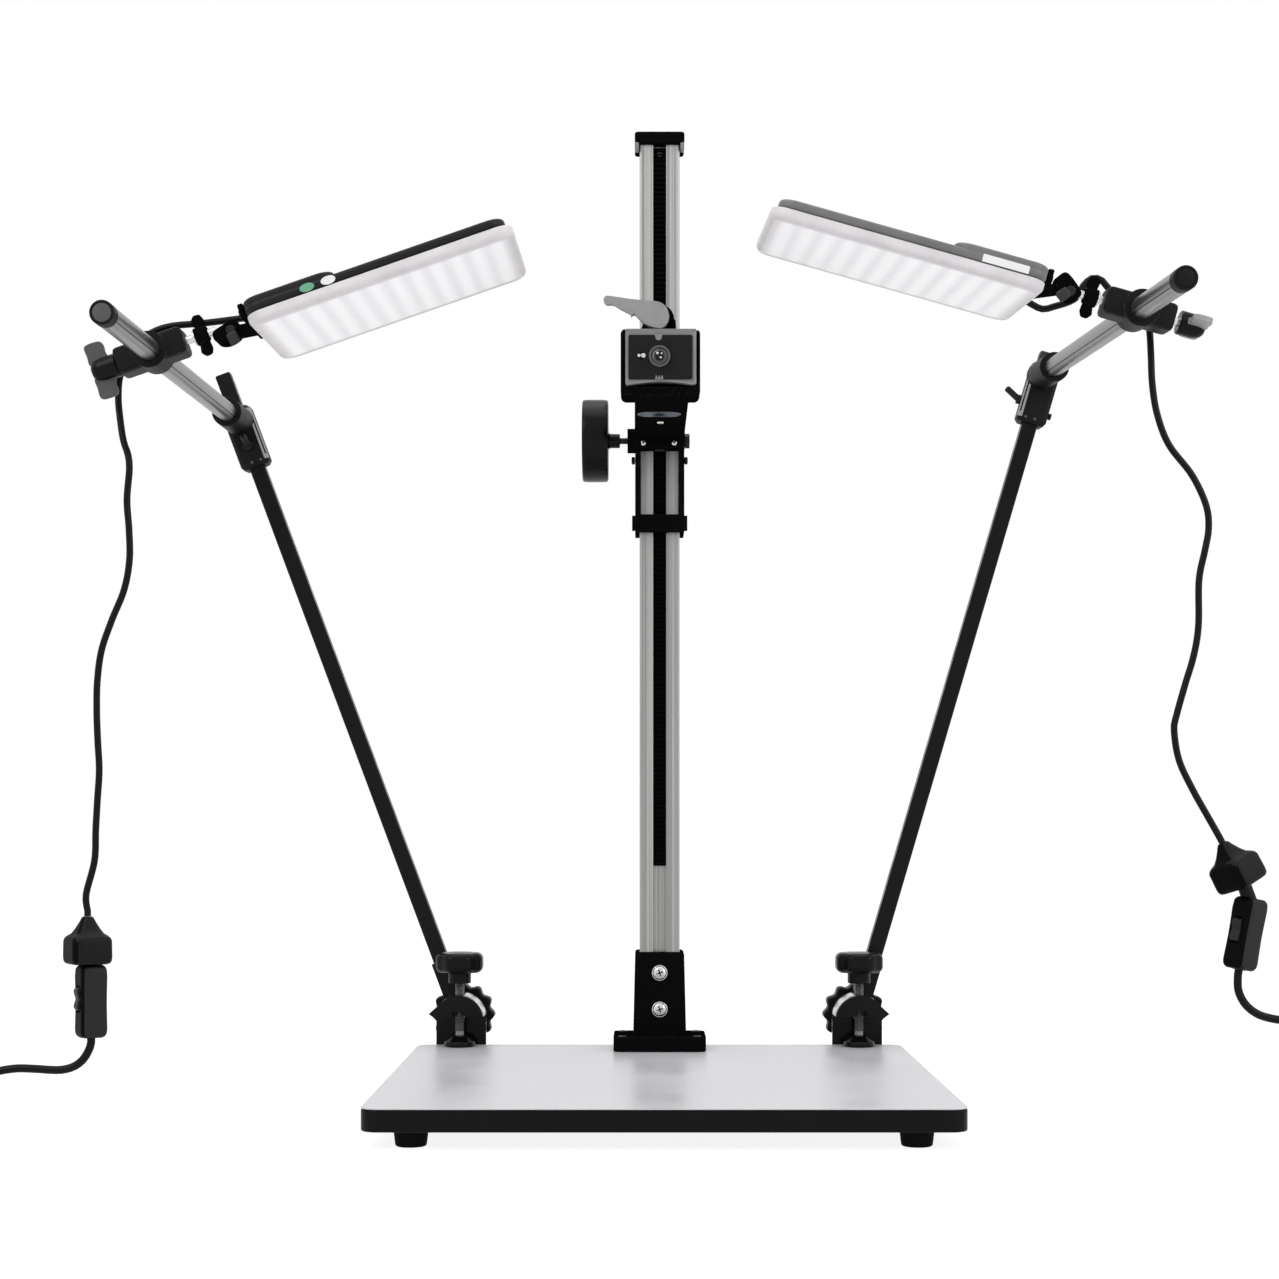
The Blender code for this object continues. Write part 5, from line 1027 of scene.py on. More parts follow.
@dataclass
class QuickRelease:
    """The quick release with its lever, the camera plate and the camera screw."""

    front: float = -0.046
    body_z: Pair = (0.5022, 0.5522)
    plate_front: float = -0.05
    plate_back: float = -0.0413
    plate_half: float = 0.026
    plate_z: Pair = (0.5097, 0.551)
    plate_corner: float = 0.0012
    pad_middle: float = 0.53035
    lever_at: Pair = (-0.003, 0.5612)
    lever_y: Pair = (-0.0485, -0.0416)
    lever_outline: Outline = (
        (-0.0399, 0.0112), (-0.039, 0.0136), (-0.0368, 0.0144), (-0.0293, 0.0134), (-0.0205, 0.0121),
        (-0.0088, 0.0109), (0.0002, 0.01), (0.0056, 0.0066), (0.0082, 0.0), (0.0068, -0.0056),
        (0.0032, -0.0092), (-0.0012, -0.0092), (-0.008, -0.007), (-0.013, -0.0029), (-0.0168, 0.0008),
        (-0.0186, 0.0006), (-0.0196, -0.0007), (-0.0206, 0.0015), (-0.0278, 0.0053), (-0.0328, 0.0082),
        (-0.0378, 0.0084),
    )  # fmt: skip
    screw_at: Pair = (-0.0018, 0.5307)
    thread_pitch: float = 0.00074

    def build(self) -> None:
        """Build the head's pieces."""
        self.body()
        self.lever()
        self.plate()
        self.pad()
        self.camera_screw()

    def body(self) -> None:
        """The cast body that holds the plate, with the lever's boss above it."""
        body = Shape("release_casting", CAST_BLACK)
        (low, high), back = self.body_z, self.plate_back + GAP
        shell = at(0, self.front, (low + high) / 2) @ UPRIGHT @ at(-0.0012, 0, 0)
        body.plate(rounded(0.0585, high - low, 0.0042), -0.0277, 0.0, 0.0012, 3, place=shell)
        room = Shape("plate_room", CAST_BLACK)
        room.block((-0.0273, self.front - 0.01, self.plate_z[0] - GAP), (0.0263, back, high + 0.01), 0)
        body.cut(room)
        x, z = self.lever_at
        body.rod((-0.0015, back, z - 0.001), (-0.0015, -0.0213, z - 0.001), 0.0105, bevel=0.0006)
        flare = [(-0.0165, low + 0.049), (0.0106, low + 0.049), (0.01, 0.56), (-0.012, 0.56)]
        body.plate(flare, 0.0213, -back, 0.001, 3, place=UPRIGHT)
        body.rod((x, self.lever_y[0] + 0.0008, z), (x, self.plate_back + 0.004, z), 0.0025, steps=24)
        self.ribs(body, at(-0.002, self.front, 0.5056) @ UPRIGHT)
        body.done("carriage", "quick_release_body")

    @staticmethod
    def ribs(body: Shape, face: Matrix) -> None:
        """The ribs below the plate: a hollow trapezoid between two bars and two blocks."""
        outer = [(-0.0125, 0.0036), (-0.0085, -0.003), (0.0085, -0.003), (0.0125, 0.0036)]
        inner = [(-0.01, 0.0026), (-0.0072, -0.0018), (0.0072, -0.0018), (0.01, 0.0026)]
        rim = Shape("rib", CAST_BLACK).plate(outer, -0.0008, 0.0013, 0.0004, 2)
        hole = Shape("rib_room", CAST_BLACK).plate(inner, 0.0003, 0.003, 0.0)
        body.take(rim.cut(hole).bm, CAST_BLACK, face)
        for side in SIDES:
            rib = sided(side, [(0.0165, 0.0036), (0.0122, -0.003), (0.0138, -0.003), (0.0183, 0.0036)])
            body.plate(rib, -0.0005, 0.0012, 0.0003, 2, place=face)
            block = sided(side, [(0.0198, -0.0018, -0.0005), (0.0246, 0.0006, 0.0009)])
            body.block(*block, 0.0003, 2, place=face)

    def lever(self) -> None:
        """The flat lever with its notch."""
        x, z = self.lever_at
        lever = Shape("release_lever_blade", LEVER_CAST, at(x, 0, z) @ UPRIGHT)
        outline = list(reversed(flowing(self.lever_outline, 5)))
        lever.plate(outline, -self.lever_y[1], -self.lever_y[0], 0.0009, 3)
        lever.done("release_lever", "release_lever")

    def plate(self) -> None:
        """The grey plate with its raised rim."""
        (bottom, top), half, corner = self.plate_z, self.plate_half, self.plate_corner
        outline = [(half, bottom + corner)]
        for start, x, y in ((0, half - corner, top - corner), (90, -half + corner, top - corner),
                            (180, -half + corner, bottom + corner)):  # fmt: skip
            outline += arc(corner, start, start + 90, 4, (x, y))
        for step in range(1, 16):
            share = step / 16
            outline.append((-half + 2 * half * share, bottom + 0.0026 * math.sin(math.pi * share)))

        def recess(part: Draft) -> None:
            """Sink the front face inside a rim."""
            front = max(part.faces, key=lambda face: face.calc_center_median().z)
            bmesh.ops.inset_individual(part, faces=[front], thickness=0.0024, depth=0.0)
            bmesh.ops.translate(part, verts=front.verts, vec=(0.0, 0.0, -0.0017))

        plate = Shape("camera_plate_casting", PLATE_GREY, at(-0.0009, 0, 0) @ UPRIGHT)
        plate.plate(outline, -self.plate_back, -self.plate_front, 0.0004, 2, work=recess)
        plate.done("camera_plate", "camera_plate")

    def pad(self) -> None:
        """The ribbed rubber in the plate, with the plate's tab and teeth and the anti-twist pin, which has two
        painted glints.
        """
        place = at(-0.0012, self.plate_front + 0.0018, self.pad_middle) @ UPRIGHT
        rubber = Shape("plate_insert", INSERT_RUBBER, place)
        rubber.plate(rounded(0.0468, 0.0325, 0.0012), 0.0, 0.0016, 0.0003, 2)
        tab = [(-0.0044, 0.0166), *arc(0.0024, 180, 360, 12, (-0.0014, 0.0146)), (0.0016, 0.0166)]
        teeth = [
            [(x - 0.001, -0.0166), (x + 0.001, -0.0166), (x + 0.0004, -0.0136), (x - 0.0004, -0.0136)]
            for x in (-0.003, -0.0009, 0.0012)
        ]
        for outline in (tab, *teeth):
            rubber.plate(outline, 0.0014, 0.0019, 0.0002, 2, PLATE_GREY)
        pin = at(-0.014, 0.001, 0)
        rubber.rod((0, 0, 0.001), (0, 0, 0.0022), 0.003, bevel=0.0004, finish=SLOT_BLACK, place=pin)
        # Painted glints: two small bright discs on the pin's face.
        for x, radius in ((-0.0017, 0.0012), (0.0016, 0.0017)):
            rubber.rod((x, 0, 0.001), (x, 0, 0.0024), radius, None, 0.0004, 24, BRIGHT_STEEL, pin)
        rubber.done("camera_plate", "plate_pad")

    def camera_screw(self) -> None:
        """The camera screw: a cup with a painted highlight arc, around the threaded stud, whose end has painted
        glints.
        """
        x, z = self.screw_at
        screw = Shape("camera_screw_cup", CUP_GREY, at(x, self.plate_front, z) @ turned(90, "X"))
        cup = [(0, -0.0083), (0.0031, -0.0083), (0.0031, GAP), (0.0078, GAP), (0.008, 0.0006), (0.008, 0.0016)]
        cup += [(0.0076, 0.0021), (0.0064, 0.0021), (0.0059, 0.0016), (0.0057, 0.0007), (0, 0.0007)]
        screw.lathe(cup)
        thread = [(0, 0.0005)]
        for turn in range(8):
            root, crest = (0.0006 + (turn + half) * self.thread_pitch for half in (0, 0.5))
            thread += [(0.0027, root), (0.00316, crest)]
        screw.lathe([*thread, (0.0026, 0.0064), (0, 0.0066)], 32, DARK_STEEL)
        # Painted highlight: a pale arc on one side of the cup's mouth.
        ring = [(*point, 0.0014) for point in arc(0.0046, 100, 205, 15)]
        for first, second in zip(ring, ring[1:]):
            screw.rod(first, second, 0.0006, steps=12, finish=PALE_HIGHLIGHT)
        # Painted glints: small bright discs on the stud's end.
        for x, y, radius in ((-0.0016, 0.0012, 0.001), (0.0008, -0.002, 0.0008), (0.0014, 0.001, 0.0007)):
            screw.rod((x, y, 0.0055), (x, y, 0.0069), radius, bevel=0.0003, steps=20, finish=BRIGHT_STEEL)
        screw.done("camera_screw", "camera_screw")


@dataclass
class Coil:
    """The mains lead's coil: 2.1 turns inwards, a rise onto them, and the rest outwards."""

    centre: Vector
    side: int
    radius: float = 0.039
    pitch: float = 0.0061
    inner: float = 0.02619
    heights: Pair = (0.0034, 0.0096)
    rise: Pair = (2.1, 2.4)
    turns: float = 4.5
    steps: int = 24

    def points(self) -> list[Vector]:
        """The coil's way, from its outside on the floor to its outside on top."""
        low, high = self.heights
        start, end = self.rise
        route = []
        for n in range(int(self.turns * self.steps) + 1):
            turn = n / self.steps
            if turn < start:
                radius, height = self.radius - self.pitch * turn, low
            elif turn < end:
                share = (turn - start) / (end - start)
                eased = share * share * (3 - 2 * share)
                radius = self.radius - self.pitch * start - 0.0004 * math.sin(math.pi * share)
                height = low + (high - low) * eased
            else:
                radius, height = self.inner + self.pitch * (turn - end), high
            angle = math.radians(90) - math.tau * turn
            spot = (self.side * radius * math.cos(angle), radius * math.sin(angle), height)
            route.append(self.centre + Vector(spot))
        return route


@dataclass
class LightStand:
    """One light stand, from its clamp on the board to its lamp and its cords.

    Angles are in degrees. The joints' places and angles are those of the source's own table. Points
    of the cords' routes are (X, Z), or (X, Z, Y) where they leave the cords' own plane.
    """

    name: str
    side: int
    lean: float
    elbow_at: float
    rod_inset: float
    splay: float
    droop: float
    clamp_at: float
    lamp_tilt: float
    lamp_roll: float
    lamp_start: float
    lamp_shift: float
    wing_turn: float
    wing_gap: float
    nut_start: float
    bracket_at: Pair
    bracket_turn: float
    gland: Point
    gland_rise: float
    cord_route: Sequence[Point]
    plug_top: Point
    plug_tilt: float
    switch_top: Point
    switch_tilt: float
    lead_route: Sequence[Point]
    shell: Finish
    clamp_x: float = 0.1673
    pivot_z: float = 0.023
    arm_y: float = 0.216
    ring_offset: float = 0.0245
    spindle_y: float = 0.188
    cord_y: float = -0.084
    run_starts: tuple[float, ...] = (0.0, 0.05, 0.17, 0.22, 0.37)
    coil_at: Pair = (0.575, -0.118)
    mains_plug_at: tuple[float, float, float] = (0.5441, -0.151, 0.009)
    case_turn: float = 32.0
    shell_length: float = 0.1875
    shell_z: Pair = (-0.0131, -0.0068)
    hump_top: float = -0.0027
    lamp_depth: float = 0.137
    lamp_corner: float = 0.012
    tray_length: float = 0.1915
    tray_z: tuple[float, float, float] = (-0.0134, -0.0139, -0.017)
    tray_bend: float = 0.0042
    led_start: Pair = (0.0076, -0.06)
    led_pitch: Pair = (0.01478, 0.0063)
    rod_end: float = 0.4315

    def tag(self, word: str) -> str:
        """A name with the stand's own side behind it."""
        return f"{word}_{self.name}"

    def pivot(self) -> Matrix:
        """The frame of the arm at its pivot: local Z runs along the arm."""
        return at(self.side * self.clamp_x, self.arm_y, self.pivot_z) @ turned(self.side * self.lean, "Y")

    def elbow(self) -> Matrix:
        """The arm's frame moved up to the elbow."""
        return self.pivot() @ at(0, 0, self.elbow_at)

    def rod(self) -> Matrix:
        """The frame of the rod at its ring: local -Y runs to the rod's front end."""
        ring = self.elbow() @ Vector((-self.side * self.rod_inset, -self.ring_offset, 0))
        return Matrix.Translation(ring) @ turned(self.side * self.splay, "Z") @ turned(self.droop, "X")

    def lamp(self) -> Matrix:
        """The frame of the rod clamp: local X is the axis of both studs."""
        return self.rod() @ at(0, -self.clamp_at, 0) @ turned(self.side * self.lamp_tilt, "Y")

    def panel(self) -> Matrix:
        """The lamp's frame rolled on its stud."""
        return self.lamp() @ turned(self.lamp_roll, "X")

    def cord_plane(self) -> Matrix:
        """The frame that the cords hang in."""
        return at(0, self.cord_y, 0)

    def plug_frame(self) -> Matrix:
        """The frame of the plug at its top."""
        return self.cord_plane() @ Matrix.Translation(self.plug_top) @ turned(self.plug_tilt, "Y")

    def switch_frame(self) -> Matrix:
        """The frame of the switch at its top."""
        return self.cord_plane() @ Matrix.Translation(self.switch_top) @ turned(self.switch_tilt, "Y")

    def gland_line(self) -> tuple[Vector, Vector]:
        """The mouth of the lamp's gland and its direction, in the panel's frame."""
        x, y, z = self.gland
        return Vector((-self.side * x, y, z)), Vector((self.side, 0.0, self.gland_rise)).normalized()

    def build_cords(self) -> None:
        """Build the lamp cord in its five runs, the switch, and the mains lead with its plug."""
        pieces = [self.plug(), self.switch(), self.rocker()]
        route = self.lamp_route()
        ends = (*self.run_starts, length_of(route))
        for n, label in enumerate(("gland", "clamp", "rod", "elbow", "plug")):
            part = self.part_of(route, ends[n], ends[n + 1])
            run = LAMP_CORD.tube(self.tag(f"lamp_cord_{label}"), part)
            last = label == "plug"
            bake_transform(run)
            if last:
                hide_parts(self.tag("lamp_cord"))
        self.mains()

    @staticmethod
    def part_of(route: Route, start: float, end: float) -> list[Vector]:
        """The part of a route between two lengths along it, at the nearest points."""
        step = length_of(route) / (len(route) - 1)
        return list(route[round(start / step) : round(end / step) + 1])

    def hung(self, points: Sequence[Point]) -> list[Vector]:
        """The points of a route in the cords' plane."""
        return [self.cord_plane() @ Vector((x, sum(aside), z)) for x, z, *aside in points]

    def lamp_route(self) -> list[Vector]:
        """The lamp cord's way from its gland to its plug."""
        mouth, aim = self.gland_line()
        panel, plug = self.panel(), self.plug_frame()
        route = [panel @ (mouth + aim * reach) for reach in (GAP, 0.004)]
        route += self.hung(self.cord_route)
        route += [plug @ Vector((0, 0, height)) for height in (0.004, GAP)]
        return smooth_route(route, LAMP_CORD.spacing)

    def plug(self) -> Object:
        """The plug at the lamp cord's end: a tent-shaped grip on a wide soft body."""
        plug = Shape(self.tag("lamp_plug_body"), CASE_BLACK, self.plug_frame() @ turned(self.case_turn, "Z"))
        rings = (
            (0.0, 0.0066, 0.0066, 0.003), (-0.001, 0.0084, 0.0084, 0.0036),
            (-0.004, 0.0112, 0.0112, 0.0042), (-0.0085, 0.0158, 0.016, 0.0048),
            (-0.012, 0.0205, 0.0215, 0.006), (-0.0136, 0.025, 0.0265, 0.0066),
            (-0.0152, 0.028, 0.0296, 0.0066), (-0.0172, 0.0293, 0.0309, 0.0064),
            (-0.029, 0.0295, 0.031, 0.006), (-0.0318, 0.0288, 0.0303, 0.0058),
            (-0.0334, 0.0268, 0.0283, 0.0054), (-0.034, 0.0236, 0.025, 0.005),
        )  # fmt: skip
        # Painted shade: the faces that look left take a darker copy of the case plastic.
        plug.loft(rings).paint(CASE_SHADE, (-1, 0, 0), 0.55)
        return plug.done("stand", self.tag("lamp_plug"))

    def switch(self) -> Object:
        """The switch on the cord: a slightly waisted case, with painted shade on its left faces and a paler
        painted sheen on its front faces.
        """
        place = self.switch_frame() @ turned(self.case_turn, "Z")
        case = Shape(self.tag("switch_case"), CASE_BLACK, place)
        rings = (
            (0.0, 0.015, 0.015, 0.004), (-0.0012, 0.0178, 0.0176, 0.0044), (-0.003, 0.0192, 0.019, 0.0042),
            (-0.008, 0.0197, 0.0195, 0.004), (-0.02, 0.0193, 0.0186, 0.0038),
            (-0.028, 0.0192, 0.0184, 0.0038), (-0.038, 0.0194, 0.0188, 0.0038),
            (-0.046, 0.0197, 0.0195, 0.004), (-0.049, 0.0192, 0.019, 0.0042),
            (-0.0508, 0.0176, 0.0174, 0.0044), (-0.0518, 0.015, 0.015, 0.0042),
        )  # fmt: skip
        case.loft(rings)
        pocket = Shape("rocker_room", CASE_BLACK)
        pocket.block((-0.02, -0.0043, -0.0337), (-0.0067, 0.0043, -0.0143), 0)
        # Painted shade on the faces that look left, and painted sheen on those that look to the front.
        case.cut(pocket).paint(CASE_SHADE, (-1, 0, 0), 0.55)
        case.paint(CASE_SHEEN_GREY, (0, -1, 0), 0.8)
        top, low = (place.inverted() @ (self.plug_frame() @ Vector((0, 0, z))) for z in (-0.0343, -0.0352))
        case.rod(low, top, 0.005, steps=24)
        case.rod((0, 0, -0.004), low, 0.0052, 0.005, steps=24)
        case.rod((0, 0, -0.0522), (0, 0, -0.051), 0.0046, 0.0056, steps=24)
        return case.done("stand", self.tag("inline_switch"))

    def rocker(self) -> Object:
        """The switch's rocker, dished on both sides of its middle."""
        place = self.switch_frame() @ turned(self.case_turn, "Z") @ at(-0.0099, 0, -0.024) @ UPRIGHT
        # The rocker takes the lighter grey of the case's painted sheen.
        rocker = Shape(self.tag("rocker_key"), CASE_SHEEN_GREY, place)
        upper = [(-0.0002, 0.0), (-0.0011, 0.0022), (-0.0018, 0.0048), (-0.0017, 0.0068), (0.0003, 0.0083)]
        lower = [(x, -z) for x, z in reversed(upper)]
        rocker.plate([(0.002, 0.0055), (0.002, -0.0055), *lower, *upper[1:]], -0.0039, 0.0039, 0.0004, 2)
        return rocker.done(self.tag("rocker"), self.tag("switch_rocker"))

    def mains(self) -> None:
        """The mains lead from the switch into its coil, and the plug beside the coil."""
        plug = self.mains_plug()
        route = self.mains_route()
        lead = MAINS_LEAD.tube(self.tag("mains_lead_coiled"), route)
        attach(lead, "stand")
        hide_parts(self.tag("mains_lead"), self.tag("lead_coil"))

    def plug_mouth(self) -> Vector:
        """Where the mains lead goes into its plug."""
        x, y, height = self.mains_plug_at
        return Vector((self.side * x, y, GROUND_Z + height))

    def mains_route(self) -> list[Vector]:
        """The mains lead's way: down from the switch, out to the coil, round it and into the plug."""
        switch = self.switch_frame()
        route = [switch @ Vector((0, 0, reach)) for reach in (-0.0521, -0.0558)]
        route += self.hung(self.lead_route)
        x, y = self.coil_at
        route += Coil(Vector((self.side * x, y, GROUND_Z)), self.side).points()
        ends = sided(self.side, [(0.015, -0.0012, 0.0002), (0.004, 0, 0), (0, 0, 0)])
        route += [self.plug_mouth() + Vector(end) for end in ends]
        return smooth_route(route, MAINS_LEAD.spacing)

    def mains_plug(self) -> Object:
        """The two-blade plug at the mains lead's end."""
        way = -self.side
        plug = Shape(self.tag("mains_plug_body"), PLASTIC_BLACK, Matrix.Translation(self.plug_mouth()))
        plug.block(*sided(way, [(0.014, -0.012, -0.009), (0.04, 0.012, 0.009)]), 0.0032, 4)
        plug.rod(*sided(way, [(-0.006, 0, 0), (0.016, 0, 0)]), 0.0036, 0.0062, 0.0004)
        for n in range(4):
            start = 0.0025 + 0.0031 * n
            plug.rod(*sided(way, [(start, 0, 0), (start + 0.0016, 0, 0)]), 0.0052 + 0.0004 * n, bevel=0.0004)
        for y in (-0.00635, 0.00635):
            blade = sided(way, [(0.0385, y - 0.00075, -0.00315), (0.057, y + 0.00075, 0.00315)])
            plug.block(*blade, 0.0003, 2, BRIGHT_STEEL)
        return plug.done("stand", self.tag("mains_plug"))

    def build(self) -> None:
        """Build the stand's pieces, from the clamp up."""
        self.clamp()
        self.spindle()
        self.star_knob()
        self.arm()
        self.rod_and_clamp()
        self.wing_knob()
        self.bracket()
        self.lamp_shell()
        self.tray()

    def clamp(self) -> None:
        """The board clamp with its pad, and a painted highlight: a bright steel arc on the inner side of its
        dome.
        """
        x = self.side * self.clamp_x
        casting = Shape(self.tag("board_clamp"), CLAMP_BLACK)
        casting.node(self.tag("clamp_frame"))
        slot = Shape("spindle_slot", CLAMP_BLACK)
        slot.block((x - 0.0052, 0.14, 0.024), (x + 0.0052, 0.1842, 0.0303), 0)
        casting.cut(slot)
        # Painted highlight: a bright arc only on the side of the dome that faces the lamps.
        start = 8 if self.side < 0 else 102
        highlight_arc = [*arc(0.0214, start, start + 70, 24), *reversed(arc(0.0175, start, start + 70, 24))]
        casting.plate(highlight_arc, -0.203, -0.18, 0.0004, 2, BRIGHT_STEEL, at(x, 0, self.pivot_z) @ UPRIGHT)
        casting.done("stand", self.tag("clamp_frame"))
        pad = Shape(self.tag("clamp_pad"), CLAMP_BLACK, at(x, self.spindle_y, GAP))
        profile = [(0, 0.0087), (0.0068, 0.0087), (0.0074, 0.0083), (0.0115, 0.0048), (0.0127, 0.004)]
        profile += [(0.013, 0.0032), (0.013, 0.0006), (0.0124, 0), (0, 0)]
        pad.lathe(profile, 48).done(self.tag("pad"), self.tag("pressure_pad"))

    def spindle(self) -> None:
        """The clamp's spindle: a lobed knob on a thread."""
        spindle = Shape(self.tag("clamp_screw"), KNOB_BLACK, at(self.side * self.clamp_x, self.spindle_y, 0))
        spindle.plate(lobed(0.0205, 8, 0.0012), 0.062, 0.0787, 0.0052, 6, place=turned(22.5, "Z"))
        cap = [(0, 0.0791), (0.0085, 0.0791), (0.0105, 0.0788), (0.0122, 0.0782), (0.0128, 0.0772), (0, 0.0772)]
        neck = [(0, 0.0635), (0.0094, 0.0635), (0.0095, 0.0625), (0.0095, 0.0535), (0.0088, 0.053), (0, 0.053)]
        spindle.lathe(cap, 48).lathe(neck, 48)
        thread = [(0, 0.0555), (0.0038, 0.0555)]
        for turn in range(34):
            top = 0.055 - turn * 0.00125
            thread += [(0.004, top), (0.00345, top - 0.00062)]
        spindle.lathe([*thread, (0.0036, 0.0094), (0, 0.0094)], 32, SPINDLE_STEEL)
        spindle.done(self.tag("spindle"), self.tag("clamp_spindle"))

    def star_knob(self) -> None:
        """The star knob behind the arm, with its stud."""
        place = at(self.side * self.clamp_x, 0.224, self.pivot_z) @ UPRIGHT @ turned(90, "Z")
        star = Shape(self.tag("star_knob_grip"), PLASTIC_BLACK, place)
        star.plate(lobed(0.0268, 12, 0.0032, 10), -0.018, 0.0, 0.0022, 3)
        star.rod((0, 0, -0.0185), (0, 0, -0.0172), 0.0115, bevel=0.0005, finish=KNOB_BLACK)
        star.rod((0, 0, -0.002), (0, 0, 0.0199), 0.003, steps=24, finish=BRIGHT_STEEL)
        star.done(self.tag("star_knob"), self.tag("star_knob"))

    def arm(self) -> None:
        """The arm, and the elbow on it with its lever."""
        paint = ARM_PAINT.leaning(self.side * self.lean, self.name)
        Shape(self.tag("arm_bar"), paint).node(self.tag("arm")).done(self.tag("arm"), self.tag("arm"))
        elbow = Shape(self.tag("elbow_casting"), JOINT_BLACK, self.elbow())
        elbow.node(self.tag("elbow_body"))
        inner = -self.side
        # Painted highlight: a light grey strip on the elbow's inner front edge, where its lit chamfer shows,
        # with a dark line along it.
        edge = at(inner * 0.0112, -0.0097, 0) @ turned(inner * 45, "Z")
        elbow.block((-0.0026, -0.0004, -0.037), (0.0026, 0.0006, 0.0085), 0.0003, 2, EDGE_HIGHLIGHT_GREY, edge)
        elbow.block((-0.0007, -0.0007, -0.033), (0.0007, 0.0, 0.001), 0.0002, 2, SLOT_BLACK, edge)
        for x in (inner * 0.006, -inner * 0.002):
            elbow.rod((x, -0.011, -0.0365), (x, -0.0115, -0.0365), 0.0012, None, 0.0003, 20, EAR_GREY)
        if self.side > 0:
            elbow.block((-0.0085, -0.006, 0.005), (0.006, 0.006, 0.0225), 0.0016, 3, HINGE_GREY)
        elbow.done(self.tag("elbow"), self.tag("elbow_body"))
        lever = Shape(self.tag("elbow_handle"), HANDLE_GREY)
        lever.node(self.tag("elbow_lever")).done(self.tag("elbow_lever"), self.tag("elbow_lever"))

    def rod_and_clamp(self) -> None:
        """The light rod with its end cap and two painted dark reflection lines along it, and the clamp on it.
        """
        turn = (90.0 + self.droop, 0.0, self.side * self.splay)
        satin = replace(ROD_SATIN, name=self.tag("rod_satin"), turn=turn)
        rod = Shape(self.tag("rod_bar"), satin, self.rod() @ turned(90, "X"))
        end = self.rod_end
        tube = [(0, -0.0085), (0.0074, -0.0085), (0.008, -0.0079), (0.008, 0.4295), (0.0072, 0.4302)]
        rod.lathe([*tube, (0, 0.4302)])
        rim = [(0, 0.42), (0.008, 0.42), (0.0082, 0.4204), (0.0082, 0.4309), (0.0077, end), (0.0067, end)]
        rod.lathe([*rim, (0.0064, 0.4309), (0, 0.4309)], finish=END_BLACK)
        cap = END_GREY if self.side < 0 else END_BLACK
        rod.lathe([(0, 0.4305), (0.0063, 0.4305), (0.0062, 0.4311), (0.004, 0.4314), (0, end)], 48, cap)
        # Painted reflection: two dark lines along the rod, at the angles where a dark reflection lies on it.
        for angle in (-self.side * 58 - 90, 90 - self.side * 30):
            dark_reflection_line = turned(angle, "Z")
            rod.block((0.0079, -0.0005, 0.001), (0.00806, 0.0005, 0.4195), 0, 1, DARK_STEEL, dark_reflection_line)
        rod.done(self.tag("rod"), self.tag("light_rod"))
        clamp = Shape(self.tag("rod_clamp_casting"), JOINT_BLACK, self.lamp())
        clamp.node(self.tag("rod_clamp")).done(self.tag("rod_clamp"), self.tag("rod_clamp"))

    def wing_knob(self) -> None:
        """The wing knob on the rod clamp's outer end: a round hub between two ears."""
        start = 0.0255 + self.wing_gap
        outwards = at(self.side * start, 0, 0) @ turned(self.side * 90, "Y")
        place = self.lamp() @ turned(self.wing_turn, "X") @ outwards
        knob = Shape(self.tag("wing_knob_body"), KNOB_BLACK, place)
        hub = [(0, 0), (0.0078, 0), (0.0085, 0.0008), (0.0085, 0.0105), (0.008, 0.014), (0.0068, 0.017)]
        knob.lathe([*hub, (0.0045, 0.019), (0, 0.0198)], 48)
        # Painted sheen: the same ears are grey on the left knob and pale on the right.
        finish = EAR_GREY if self.side < 0 else PALE_HIGHLIGHT
        ear = ((0.004, 0.0042), (0.011, 0.0058), (0.0165, 0.0056), (0.0195, 0.0072), (0.0203, 0.012))
        ear += ((0.02, 0.017), (0.0182, 0.0194), (0.012, 0.0192), (0.004, 0.0182))
        sheet = turned(90, "Z") @ (EAR_SHEET @ at(0, 0, -0.0023))
        for way in SIDES:
            knob.plate(flowing(sided(way, ear)), 0.0, 0.0046, 0.0016, 4, finish, sheet)
        knob.rod((0, 0, 0.002), (0, 0, -(start - 0.011 - GAP)), 0.003, steps=24, finish=BRIGHT_STEEL)
        knob.done(self.tag("wing_knob"), self.tag("wing_knob"))

    def bracket(self) -> None:
        """The lamp's stud, its wing nut, its knuckle and the strap on the lamp's end."""
        inward = -self.side
        bracket = Shape(self.tag("lamp_bracket"), CAST_BLACK, self.panel())
        stud = sided(inward, [(0.011 + GAP, 0, 0), (0.048, 0, 0)])
        bracket.rod(*stud, 0.003, steps=24, finish=BRIGHT_STEEL)
        self.wing_nut(bracket)
        x, z = self.bracket_at
        self.knuckle(bracket, at(inward * x, 0, z) @ turned(-inward * self.bracket_turn, "Y"))
        back = self.lamp_start - GAP
        end = back - 0.002
        tongue = [(x, z - 0.004), (end, -0.0121), (end, -0.0041), (x, z + 0.004)]
        bracket.plate(sided(inward, tongue), -0.006, 0.006, 0.0008, 3, place=UPRIGHT)
        front = self.lamp_shift - self.lamp_depth / 2
        strap = sided(inward, [(back - 0.004, front + 0.012, -0.0131), (back, front + 0.082, -0.0021)])
        bracket.block(*strap, 0.001, 3)
        for y in (front + 0.02, front + 0.074):
            ends = sided(inward, [(back - depth, y, -0.0076) for depth in (0.0038, 0.0052)])
            bracket.rod(*ends, 0.003, bevel=0.0005, steps=24, finish=DARK_STEEL)
        bracket.done(self.tag("lamp"), self.tag("lamp_knuckle"))

